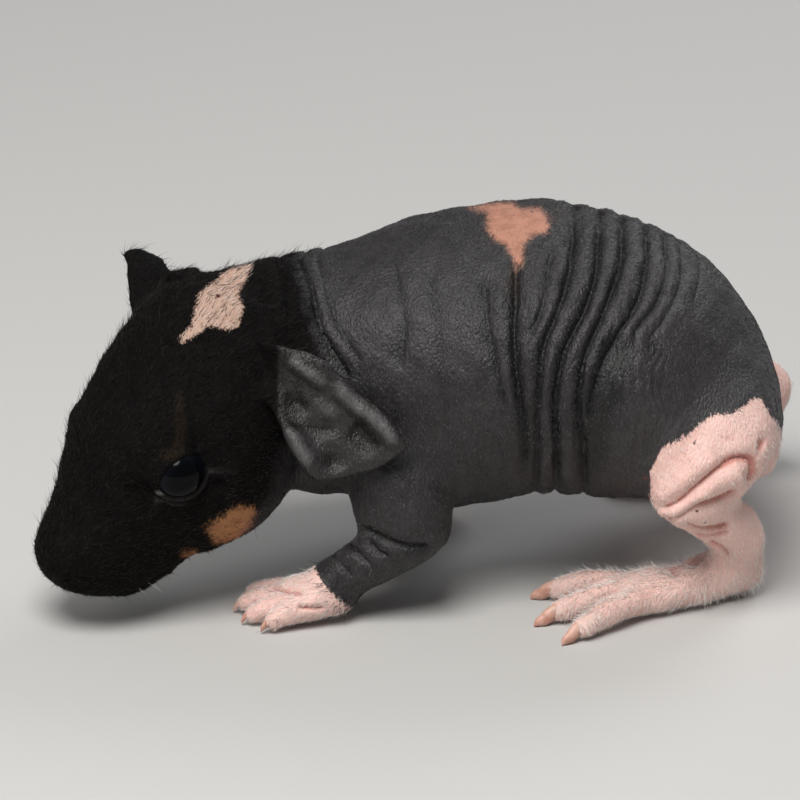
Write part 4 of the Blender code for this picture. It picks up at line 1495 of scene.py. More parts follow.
@dataclass
class Markings:
    """The numbers that the skin carries for its colours, its coat and the way that hairs lie.

    Attributes:
        skin: The skin.
    """

    skin: Skin

    def store(self) -> None:
        """Stores every attribute on the skin."""
        obj = self.skin.obj
        points, normals = read(obj), normals_of(obj)
        tree = BVHTree.FromPolygons(points.tolist(), faces_of(obj))
        tones = {tone: np.full(len(points), FAR) for tone in Tone}
        for patch in MARKS:
            tones[patch.tone] = np.minimum(tones[patch.tone], patch.gap(points, tree))
        tones[Tone.PALE] = np.minimum(tones[Tone.PALE], self.legs(points))
        for tone, gap in tones.items():
            set_attribute(obj, tone.value, np.clip(gap, -4.0, FAR))
        set_attribute(obj, "mole", self.moles(points, tree))
        set_attribute(obj, "head", self.head(points))
        ears = 1.0 - Skin.trunk_share(points)
        x, y, z = points.T
        near = y < -8.0
        set_attribute(obj, "ear", np.where(near, ears * smoothstep(-19.0, -14.5, x), 0.0))
        flat = slanted(points)
        # Painted light and shade on the near ear: its relief's height makes ridges lighter and hollows
        # darker, and it darkens towards the root.
        ridges = sum(stroke.shape(flat, smooth_rows(stroke.line, 4)) for stroke in EARS[0].relief)
        ridges = ridges - 1.2 * smoothstep(-12.5, -17.0, x)
        set_attribute(obj, "ridge", np.where(near & (ears > 0.5), ridges, 0.0))
        # Painted light: a share that lightens the upper haunch, as if lit from above.
        set_attribute(obj, "rear", smoothstep(22.0, 31.0, x) * smoothstep(8.0, 18.0, z))
        # Painted shade: a share that darkens the lower belly, as if in shade under the body.
        set_attribute(obj, "under", smoothstep(24.0, 12.0, z) * smoothstep(3.0, 8.0, x))
        set_attribute(obj, "lid", self.lids(points))
        set_attribute(obj, "lie", self.lie(points, normals))
        self.coat(points, normals, tones, ears)
        self.unwrap(obj, points)

    @staticmethod
    def legs(points: Array) -> Array:
        """How far each point is from the pink of the legs.

        Args:
            points: Pup places.

        Returns:
            Millimetres, one a point, up to FAR.
        """
        gap = np.full(len(points), FAR)
        edge = smooth_rows(HAUNCH_EDGE, 4)
        for leg in LEGS:
            mine = (points[:, 1] * leg.flank > -2.0) & (np.abs(points[:, 0] - leg.foot.root[0]) < 24.0)
            off = np.full(len(points), FAR)
            off[mine] = distance_to_line(points[mine], leg.axis())[0] - LEG_REACH
            if leg.pair is Pair.HIND:
                places = slanted(points, leg.flank)
                drop = FAR_DROP if leg.flank > 0 else 0.0
                height = np.interp(places[:, 0], edge[:, 0], edge[:, 1]) - drop
                haunch = np.maximum((places[:, 1] - height) * 0.8, HAUNCH_FRONT - places[:, 0])
                foot = np.maximum(off - 6.0 * smoothstep(7.5, 6.0, points[:, 2]), points[:, 2] - 11.0)
                mine_gap = np.minimum(haunch, foot)
            else:
                spot = np.array(leg.lower[-1][:3]) + np.array([0.6, 0.0, 0.55])
                mine_gap = np.maximum(off, (points - spot) @ unit(np.array([0.69, 0.0, 0.67])))
            gap = np.where(mine, np.minimum(gap, mine_gap), gap)
        return gap

    @staticmethod
    def moles(points: Array, tree: BVHTree) -> Array:
        """How far each point is from the nearest mole's edge."""
        gaps = [away(points, on_skin(tree, *spot)) - radius for *spot, radius in MOLES]
        return np.minimum(np.min(gaps, axis=0), FAR)

    @staticmethod
    def head(points: Array) -> Array:
        """1 on the head, 0 behind the neck's crease.

        Args:
            points: Pup places.

        Returns:
            Values from 0 to 1, one a point.
        """
        up = points[:, 2] * math.cos(SLANT) - np.abs(points[:, 1]) * math.sin(SLANT)
        border = np.array(HEAD_BORDER)
        return smoothstep(2.5, -4.5, points[:, 0] - np.interp(up, border[:, 0], border[:, 1]))

    @staticmethod
    def lids(points: Array) -> Array:
        """How bare and pale the lids' edges are: most at the front corner, little above.

        Args:
            points: Pup places.

        Returns:
            Values from 0 to 1, one a point.
        """
        rim = np.zeros(len(points))
        for eye in EYES:
            seen = eye.opening(points)
            corner = smoothstep(0.8, 0.2, np.hypot(seen.along - eye.half_length - 0.2, seen.across + 0.2))
            edge = 0.3 * hump(seen.out - 0.5, 0.17) * smoothstep(0.2, -1.2, seen.across)
            arc = 0.3 * hump(seen.out - 1.7, 0.2) * smoothstep(0.4, 2.4, seen.along)
            edge = np.maximum(edge, arc * smoothstep(0.0, -0.8, seen.across))
            rim = np.maximum(rim, np.where(seen.near(eye.radius, 85.0), np.maximum(corner, edge), 0.0))
        return rim

    @staticmethod
    def lie(points: Array, normals: Array) -> Array:
        """The way that hairs lie, along the skin.

        Args:
            points: Pup places.
            normals: Their normals.

        Returns:
            One unit vector a point.
        """
        forward, right, crown = HEAD.table
        head = Markings.head(points)[:, None]
        lie = head * (-forward - 0.15 * crown) + (1.0 - head) * np.array([0.45, 0.0, -1.0])
        for leg in LEGS:
            turn = math.radians(leg.foot.heading)
            near = hump(away(points, np.array([*leg.foot.root, 2.0])), 11.0, 4)[:, None]
            lie = lie * (1.0 - near) + near * np.array([math.cos(turn), math.sin(turn), -0.3])
        lie = lie + 0.25 * np.stack([wobble(points, 4.0, seed) for seed in (21, 22, 23)], 1)
        return unit(lie - normals * np.sum(lie * normals, axis=1, keepdims=True))

    def coat(self, points: Array, normals: Array, tones: dict[Tone, Array], ears: Array) -> None:
        """Stores where each kind of hair grows.

        Args:
            points: The skin's points.
            normals: Their normals.
            tones: How far each point is from the markings of each colour.
            ears: 1 on the ears.
        """
        obj, (x, _, z) = self.skin.obj, points.T
        bare = np.ones(len(points))
        for eye in EYES:
            seen = eye.opening(points)
            bare = np.where(seen.near(eye.radius, 85.0), bare * smoothstep(0.2, 0.9, seen.out), bare)
        bare *= smoothstep(0.05, 0.6, z) * (normals[:, 2] > -0.97)
        head = Markings.head(points)
        pale = smoothstep(0.3, -0.5, np.minimum(tones[Tone.PALE], tones[Tone.TAN]))
        body = (1.0 - head) * (1.0 - pale) * bare
        set_attribute(obj, "grow_front", body * (x < FUZZ_SPLIT))
        set_attribute(obj, "grow_rear", body * (x >= FUZZ_SPLIT))
        set_attribute(obj, "grow_head", head * (1.0 - 0.95 * pale) * (1.0 - 0.7 * ears) * bare)
        white = smoothstep(0.3, -0.5, tones[Tone.PALE])
        set_attribute(obj, "grow_feet", white * bare * np.where((z < 9.0) & (head < 0.5), 1.0, 0.3))
        wrists = hump(tones[Tone.PALE], 0.8) * ((z < 9.0) & (x < 9.0))
        tufts = sum(hump(away(points, spot), reach) for *spot, reach in TUFTS)
        ears_edge = np.zeros(len(points))
        for ear in EARS:
            for edge in (ear.back_edge, ear.front_edge):
                gap = distance_to_line(points, smooth_rows(edge, 4))[0]
                ears_edge = np.maximum(ears_edge, smoothstep(1.6, 0.4, gap))
        long_hair = head * (0.05 + 0.35 * smoothstep(0.2, 0.8, normals @ HEAD.table[2])) + tufts
        long_hair = long_hair + 0.5 * ears_edge + 0.8 * wrists
        set_attribute(obj, "grow_long", np.clip(long_hair, 0.0, 1.0) * bare)
        heels = smoothstep(33.0, 36.0, x) * smoothstep(5.5, 3.0, z)
        fringe = heels + 0.5 * wrists + 0.8 * ((z < 7.0) & (x > 20.0)) * (normals[:, 2] > 0.1)
        set_attribute(obj, "grow_fringe", np.clip(fringe, 0.0, 1.0) * pale * bare)
        spots = [HEAD.place((place[0], place[1] * side, place[2])) for place in WHISKERS for side in (-1, 1)]
        lips = sum(hump(away(points, spot), 0.9, 4) for spot in spots)
        set_attribute(obj, "grow_whiskers", np.clip(lips, 0.0, 1.0))

    @staticmethod
    def unwrap(obj: bpy.types.Object, points: Array) -> None:
        """Stores a flat layout of the skin, one strip for each limb, ear and the trunk.

        Args:
            obj: The skin.
            points: Its points.
        """
        axes = [TORSO.rows(2)[:, :3]] + [leg.axis() for leg in LEGS]
        axes += [smooth_rows((np.array(ear.back_edge) + np.array(ear.front_edge)) / 2.0, 2) for ear in EARS]
        girths = [17.0] + [5.0] * len(LEGS) + [3.5] * len(EARS)
        found = [distance_to_line(points, axis) for axis in axes]
        owner = np.argmin([gap / girth for (gap, _), girth in zip(found, girths)], axis=0)
        faces = np.array([list(face.vertices)[:3] for face in obj.data.polygons])
        own = owner[faces[:, 0]]
        places = np.zeros((*faces.shape, 2))
        for i, axis in enumerate(axes):
            mine = own == i
            station = found[i][1] / run_length(axis)
            heading = unit(axis[-1] - axis[0])
            side = unit(np.cross(heading, (0.0, 0.0, 1.0)))
            up = np.cross(side, heading)
            shares = np.linspace(0, 1, len(axis))
            off = points - np.stack([np.interp(station, shares, column) for column in axis.T], 1)
            turn = np.arctan2(off @ up, off @ side) / (2.0 * math.pi)
            turns = turn[faces[mine]]
            turns = turns[:, :1] + (turns - turns[:, :1] + 0.5) % 1.0 - 0.5
            spot = np.stack([station[faces[mine]], turns + 0.5], -1)
            start, height = (0.42, 0.56) if i == 0 else (0.02 + 0.066 * (i - 1), 0.055)
            places[mine] = np.array((0.02, start)) + spot * np.array((0.96, height))
        layer = obj.data.attributes.new("root_place", "FLOAT2", "CORNER")
        layer.data.foreach_set("vector", places.reshape(-1).astype(np.float32))


class Graph:
    """A node tree whose nodes are added by one method."""

    def __init__(self, tree: bpy.types.NodeTree) -> None:
        """Starts from a tree."""
        self.tree = tree

    def add(self, kind: str, settings: dict[str, Any], inputs: dict[Any, Any], output: Any = 0) -> Any:
        """Adds a node.

        Args:
            kind: Its type.
            settings: Its own settings, set first.
            inputs: Values or sockets for its sockets, by name or number.
            output: Which of its outputs to return.

        Returns:
            The output's socket.
        """
        made = self.tree.nodes.new(kind)
        for name, value in settings.items():
            setattr(made, name, value)
        for name, value in inputs.items():
            if isinstance(value, bpy.types.NodeSocket):
                self.tree.links.new(value, made.inputs[name])
            else:
                made.inputs[name].default_value = value
        return made.outputs[output]


class Wire:
    """A shader socket that takes part in expressions."""

    def __init__(self, finish: "Finish", socket: Any) -> None:
        """Wraps a socket of one finish."""
        self.finish = finish
        self.socket = socket

    def math(self, operation: str, *values: Any) -> "Wire":
        """A Math node on some values."""
        return self.finish.node("ShaderNodeMath", {"operation": operation}, dict(enumerate(values)))

    def __add__(self, other: Any) -> "Wire":
        """Sum."""
        return self.math("ADD", self, other)

    __radd__ = __add__

    def __sub__(self, other: Any) -> "Wire":
        """Difference."""
        return self.math("SUBTRACT", self, other)

    def __rsub__(self, other: Any) -> "Wire":
        """Difference, the other way round."""
        return self.math("SUBTRACT", other, self)

    def __mul__(self, other: Any) -> "Wire":
        """Product."""
        return self.math("MULTIPLY", self, other)

    __rmul__ = __mul__

    def __truediv__(self, other: Any) -> "Wire":
        """Quotient."""
        return self.math("DIVIDE", self, other)

    def __pow__(self, other: Any) -> "Wire":
        """Power."""
        return self.math("POWER", self, other)

    def between(self, low: float, high: float) -> "Wire":
        """A smooth ramp from 0 at low to 1 at high."""
        settings = {"interpolation_type": "SMOOTHSTEP"}
        return self.finish.node("ShaderNodeMapRange", settings, {0: self, 1: low, 2: high, 3: 0.0, 4: 1.0})


class Finish(Graph):
    """A material and the nodes that feed its shader."""

    def __init__(self, name: str, **numbers: Any) -> None:
        """Starts a material.

        Args:
            name: Its name.
            **numbers: Values for the shader's own sockets, with _ for a space.
        """
        self.material = bpy.data.materials.new(name)
        self.material.use_nodes = True
        super().__init__(self.material.node_tree)
        self.shader = self.tree.nodes["Principled BSDF"]
        for socket, value in numbers.items():
            self.shader.inputs[socket.replace("_", " ")].default_value = value

    def node(self, kind: str, settings: dict[str, Any], inputs: dict[Any, Any], output: Any = 0) -> Wire:
        """Adds a node that takes wires, and returns its output as a wire."""
        inputs = {name: value.socket if isinstance(value, Wire) else value for name, value in inputs.items()}
        return Wire(self, self.add(kind, settings, inputs, output))

    def attribute(self, name: str, output: str = "Fac") -> Wire:
        """A number or vector that the mesh carries."""
        return self.node("ShaderNodeAttribute", {"attribute_name": name}, {}, output)

    def place(self, *scale: float) -> Wire:
        """Object coordinates in millimetres, scaled.

        Args:
            *scale: One factor for all axes or one for each; none leaves it as it is.

        Returns:
            The place as a wire.
        """
        spot = self.node("ShaderNodeTexCoord", {}, {}, "Object")
        factor = [value / MM for value in (scale or (1.0,))]
        factor = factor * 3 if len(factor) == 1 else factor
        return self.node("ShaderNodeVectorMath", {"operation": "MULTIPLY"}, {0: spot, 1: factor})

    def noise(self, place: Wire, size: float, detail: float = 3.0, rough: float = 0.55) -> Wire:
        """Noise of about 0 to 1 with humps about a size apart."""
        inputs = {"Vector": place, "Scale": 1.0 / size, "Detail": detail, "Roughness": rough}
        return self.node("ShaderNodeTexNoise", {}, inputs, "Fac")

    def cells(self, place: Wire, size: float) -> Wire:
        """The distance to the nearest of scattered points."""
        return self.node("ShaderNodeTexVoronoi", {}, {"Vector": place, "Scale": 1.0 / size}, "Distance")

    def blend(self, factor: Any, first: Any, second: Any) -> Wire:
        """A mix of two colours.

        Args:
            factor: How much of the second shows.
            first: A colour or a wire.
            second: The other one.

        Returns:
            The mix.
        """
        first, second = ((*c, 1.0) if isinstance(c, tuple) else c for c in (first, second))
        inputs = {0: factor, 6: first, 7: second}
        return self.node("ShaderNodeMix", {"data_type": "RGBA", "clamp_factor": True}, inputs, 2)

    def bump(self, height: Wire, depth: float) -> None:
        """Feeds a height to the shader's normal; the depth is how many millimetres a step of 1 is."""
        inputs = {"Height": height, "Distance": depth * MM, "Strength": 1.0}
        self.join("Normal", self.node("ShaderNodeBump", {}, inputs))

    def mix_in(self, factor: Wire, **numbers: Any) -> None:
        """Mixes in a second shader with the same colour and normal.

        Args:
            factor: How much of it shows.
            **numbers: Values for its sockets, with _ for a space.
        """
        inputs = {name.replace("_", " "): value for name, value in numbers.items()}
        for name in ("Base Color", "Normal"):
            inputs[name] = self.shader.inputs[name].links[0].from_socket
        second = self.add("ShaderNodeBsdfPrincipled", {}, inputs)
        mixed = self.add("ShaderNodeMixShader", {}, {0: factor.socket, 1: self.shader.outputs[0], 2: second})
        self.tree.links.new(mixed, self.tree.nodes["Material Output"].inputs["Surface"])

    def join(self, socket: str, wire: Wire) -> None:
        """Links a wire to one of the shader's sockets."""
        self.tree.links.new(wire.socket, self.shader.inputs[socket])

    def dress(self, obj: bpy.types.Object) -> None:
        """Gives an object this material alone."""
        obj.data.materials.clear()
        obj.data.materials.append(self.material)


@dataclass(frozen=True)
class SkinFinish:
    """The skin's colours, gloss and grain, with painted shade in the folds, on the lower belly and in the
    pink skin's creases, and painted light on the upper haunch, in fine glints and on the ear's relief.
    """

    body: Colour = (0.0115, 0.01, 0.0105)
    # Lighter body colour: random grain and pale hair dashes, and painted light on the upper haunch and in
    # fine glints.
    body_light: Colour = (0.058, 0.0525, 0.0545)
    # Painted shade: the near-black that the folds' valleys and the lower belly are coloured with.
    valley: Colour = (0.004, 0.0035, 0.0035)
    ear: Colour = (0.02, 0.0175, 0.0175)
    # Painted highlight on the ear's ridges; the next colour is painted shade in its hollows and darkens the
    # ear towards its root.
    ear_painted_highlight: Colour = (0.085, 0.079, 0.081)
    ear_dark: Colour = (0.007, 0.0055, 0.005)
    head: Colour = (0.003, 0.0026, 0.0025)
    head_light: Colour = (0.012, 0.0105, 0.01)
    pink: Colour = (0.78, 0.52, 0.46)
    nape: Colour = (0.44, 0.3, 0.235)
    # Deeper pink: the skin's own uneven flush, and painted shade in the pink skin's creases.
    pink_deep: Colour = (0.55, 0.2, 0.16)
    peach: Colour = (0.42, 0.195, 0.13)
    umber: Colour = (0.24, 0.1, 0.06)
    tan: Colour = (0.42, 0.2, 0.09)
    faint: Colour = (0.045, 0.027, 0.013)
    mole: Colour = (0.1, 0.035, 0.025)
    lid: Colour = (0.13, 0.12, 0.12)

    def make(self) -> Finish:
        """The skin's material.

        Returns:
            The finish, ready to use.
        """
        flesh = {"Subsurface_Weight": 0.1, "Subsurface_Scale": 0.0012, "Subsurface_Radius": (1.0, 0.35, 0.25)}
        finish = Finish("skin_finish", Specular_IOR_Level=0.42, **flesh)
        spot = finish.place()
        broad, mid, fine = (finish.noise(spot, size) for size in (9.0, 1.6, 0.35))
        crease = finish.attribute("crease")
        ear = finish.attribute("ear").between(0.85, 1.0)
        head = (finish.attribute("head") + (mid - 0.5) * 0.5).between(0.25, 0.75)
        head = head * (1.0 - ear)
        streaks = finish.noise(finish.place(1.0, 1.0, 0.28), 0.16, 2.0).between(0.56, 0.72)
        grain = (broad * 0.5 + mid * 0.5).between(0.35, 0.7)
        # Painted light: the body grows lighter towards the upper haunch, and the fine streaks are pale hair
        # dashes partly painted as glints; the grain is random tone.
        light = grain * 0.3 + streaks * 0.45 + finish.attribute("rear") * 0.3
        body = finish.blend(light, self.body, self.body_light)
        # Painted shade: the lower belly and the folds' valleys are coloured near-black.
        body = finish.blend(finish.attribute("under") * 0.85, body, self.valley)
        body = finish.blend(crease.between(0.05, 0.55) * 0.97, body, self.valley)
        # Painted highlight on the ear's ridges and painted shade in its hollows, with noise; the ear also
        # darkens towards its root.
        ridge = finish.attribute("ridge") + (mid - 0.5) * 0.9 + (fine - 0.5) * 0.6
        leaf = finish.blend(ridge.between(0.1, 1.3), self.ear, self.ear_painted_highlight)
        leaf = finish.blend(ridge.between(-0.15, -0.9), leaf, self.ear_dark)
        body = finish.blend(ear, body, leaf)
        dark = finish.blend(streaks * 0.35 + grain * 0.2, self.head, self.head_light)
        colour = finish.blend(head, body, dark)
        teeth = (finish.noise(finish.place(1.0, 1.0, 0.4), 0.3, 2.0) - 0.5) * 1.7 + (mid - 0.5) * 0.8
        pale = (finish.attribute(Tone.PALE.value) + teeth * 0.8).between(0.22, -0.22)
        tan = (finish.attribute(Tone.TAN.value) + teeth).between(0.5, -0.7)
        faint = (finish.attribute(Tone.FAINT.value) + teeth).between(0.6, -0.6)
        # The pink's uneven flush is its own tone; its deeper colour in the creases is painted shade.
        flush_and_shade = (broad * 0.7 + mid * 0.3).between(0.45, 0.75)
        flush_and_shade = flush_and_shade * 0.3 + crease.between(0.08, 0.6) * 0.8 * (1.0 - head)
        pink = finish.blend(flush_and_shade, finish.blend(head, self.pink, self.nape), self.pink_deep)
        tans = finish.blend(head, self.peach, self.tan)
        tans = finish.blend((fine * 0.4 + mid * 0.6).between(0.42, 0.62) * 0.55, tans, self.umber)
        tans = finish.blend(streaks * 0.35 * head, tans, self.head_light)
        colour = finish.blend(faint * 0.25, colour, self.faint)
        colour = finish.blend(tan, colour, tans)
        colour = finish.blend(pale, colour, pink)
        mole = (finish.attribute("mole") + (fine - 0.5) * 0.15).between(0.08, -0.08)
        colour = finish.blend(mole, colour, self.mole)
        colour = finish.blend(finish.attribute("lid") * (fine * 0.8 + 0.25), colour, self.lid)
        finish.join("Base Color", colour)
        marked = pale.math("MAXIMUM", pale, tan)
        finish.join("Roughness", 0.43 + marked * 0.08 - ear * 0.02 + (mid - 0.5) * 0.14)
        pebbles = finish.cells(finish.place(1.0, 1.0, 0.55), 0.4)
        fibres = finish.noise(finish.place(1.0, 1.0, 0.33), 0.2, 2.0)
        finish.bump(pebbles * 0.4 + fibres * 0.9 + mid * 0.15 + fine * 0.3, 0.17)
        finish.mix_in(head, Roughness=0.7, Specular_IOR_Level=0.05)
        return finish


@dataclass
class EyeBalls:
    """The two eyes.

    Attributes:
        objects: The balls, in the order of EYES.
    """

    objects: list[bpy.types.Object] = field(default_factory=list)

    def build(self) -> None:
        """Makes each ball with its pupil's number stored on it."""
        for eye in EYES:
            obj = mesh_of(eye.node.replace("eye", "eyeball"), [ball(eye.centre, eye.radius, 96)])
            outwards = unit(read(obj) - eye.centre) @ eye.axes()[2]
            set_attribute(obj, "aside", np.degrees(np.arccos(np.clip(outwards, -1.0, 1.0))))
            shade_smooth(obj)
            self.objects.append(obj)
            LOG.info("%s: %d faces", obj.name, len(obj.data.polygons))

    def dress(self) -> None:
        """Gives the eyes their wet, blue-black finish."""
        finish = Finish("eye_finish", Roughness=0.12, Specular_IOR_Level=0.09)
        pupil = finish.attribute("aside").between(30.0, 50.0)
        clouds = finish.noise(finish.place(), 1.3)
        iris = finish.blend(clouds, (0.002, 0.0023, 0.0035), (0.004, 0.0048, 0.0075))
        finish.join("Base Color", finish.blend(pupil, (0.0012, 0.0014, 0.002), iris))
        for obj, eye in zip(self.objects, EYES):
            finish.dress(obj)
            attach(obj, BODY)
            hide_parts(eye.node)


@dataclass
class Claws:
    """The claws, one piece for each.

    Attributes:
        steps: Sections along each claw.
        curve: How far each turns down, in degrees.
        fore: A forefoot's claws: their length and half width.
        hind: The same of a hind foot's.
        objects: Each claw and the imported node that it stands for.
    """

    steps: int = 14
    curve: float = 66.0
    fore: Spot = (1.1, 0.5)
    hind: Spot = (3.7, 0.98)
    objects: list[tuple[bpy.types.Object, str]] = field(default_factory=list)

    def claw(self, leg: Leg, toe: Place) -> Solid:
        """One claw as a closed, tapered and downcurved form.

        Args:
            leg: The leg that it is on.
            toe: Its toe.

        Returns:
            The closed form.
        """
        rows, ahead = leg.foot.toe_rows(toe)
        length, radius = self.fore if leg.pair is Pair.FORE else self.hind
        spot = rows[-1, :3] + np.array([0.0, 0.0, 0.25])
        stride = (length + rows[-1, 3]) / self.steps
        keys = []
        for step in range(self.steps + 1):
            share = step / self.steps
            thick = radius * (1.0 - share**2.4 * 0.9)
            fall = math.radians(8.0 + self.curve * share)
            spot = spot.copy()
            if step:
                spot += ahead * stride * math.cos(fall) - np.array([0.0, 0.0, stride * math.sin(fall)])
            spot[2] = max(spot[2], thick + 0.02)
            keys.append([*spot, thick * 0.82, thick])
        return limb(np.array(keys), (-ahead[1], ahead[0], 0.0), 18, 2)

    def build(self) -> None:
        """Makes every claw."""
        for leg in LEGS:
            for number, toe in enumerate(leg.foot.toes, 1):
                node = leg.claw_node(number)
                obj = mesh_of(node.replace("claw", "nail"), [self.claw(leg, toe)])
                shade_smooth(obj)
                self.objects.append((obj, node))

    def dress(self) -> None:
        """Gives the claws their horny, slightly clear finish."""
        horn = {"Subsurface_Weight": 0.25, "Subsurface_Scale": 0.0008, "Subsurface_Radius": (1.0, 0.4, 0.3)}
        finish = Finish("claw_finish", **horn)
        clouds = finish.noise(finish.place(), 1.8).between(0.35, 0.65)
        fibres = finish.noise(finish.place(0.5, 1.0, 1.0), 0.25)
        shade = finish.blend(clouds, (0.5, 0.25, 0.19), (0.66, 0.42, 0.33))
        finish.join("Base Color", finish.blend(fibres * 0.35, shade, (0.4, 0.2, 0.15)))
        finish.join("Roughness", 0.3 + fibres * 0.2)
        finish.bump(fibres, 0.05)
        for obj, node in self.objects:
            finish.dress(obj)
            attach(obj, BODY)
            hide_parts(node)


class Growth(Graph):
    """The node tree that grows hairs on a mesh."""

    def named(self, name: str, kind: str) -> Any:
        """An attribute that the mesh carries."""
        return self.add("GeometryNodeInputNamedAttribute", {"data_type": kind}, {"Name": name})

    def store(self, source: Any, name: str, kind: str, domain: str, value: Any) -> Any:
        """A geometry with an attribute stored on it."""
        inputs = {"Geometry": source, "Name": name, "Value": value}
        return self.add("GeometryNodeStoreNamedAttribute", {"data_type": kind, "domain": domain}, inputs)

    def chance(self, kind: str, low: Any, high: Any, seed: int = 0) -> Any:
        """A draw between two values for each item.

        Args:
            kind: FLOAT or FLOAT_VECTOR.
            low: The lower value.
            high: The higher one.
            seed: Fixes the draw.

        Returns:
            The output's socket.
        """
        first, output = (2, 1) if kind == "FLOAT" else (0, 0)
        inputs = {first: low, first + 1: high, "Seed": seed}
        return self.add("FunctionNodeRandomValue", {"data_type": kind}, inputs, output)

    def scaled(self, vector: Any, amount: Any) -> Any:
        """A vector times a number."""
        return self.add("ShaderNodeVectorMath", {"operation": "SCALE"}, {0: vector, "Scale": amount})

    def plus(self, first: Any, second: Any) -> Any:
        """The sum of two vectors."""
        return self.add("ShaderNodeVectorMath", {"operation": "ADD"}, {0: first, 1: second})

    def number(self, operation: str, *values: Any) -> Any:
        """A Math node on some values."""
        return self.add("ShaderNodeMath", {"operation": operation}, dict(enumerate(values)))

    def vector(self, *values: Any) -> Any:
        """A vector from its three numbers."""
        return self.add("ShaderNodeCombineXYZ", {}, dict(enumerate(values)))


class Hair(enum.Enum):
    """The kinds of hair: their finish's name, and their darkest and lightest colour."""

    GREY = ("body_hair", (0.02, 0.019, 0.02), (0.19, 0.18, 0.185))
    DARK = ("head_hair", (0.003, 0.0025, 0.0025), (0.045, 0.036, 0.03))
    WHITE = ("foot_hair", (0.9, 0.84, 0.8), (0.95, 0.93, 0.91))

    def finish(self) -> Finish:
        """A finish for hairs that differ in tone.

        Returns:
            The finish.
        """
        name, dark, light = self.value
        finish = Finish(name, Roughness=0.5, Specular_IOR_Level=0.12)
        finish.join("Base Color", finish.blend(finish.attribute("tone") ** 3.0, dark, light))
        return finish


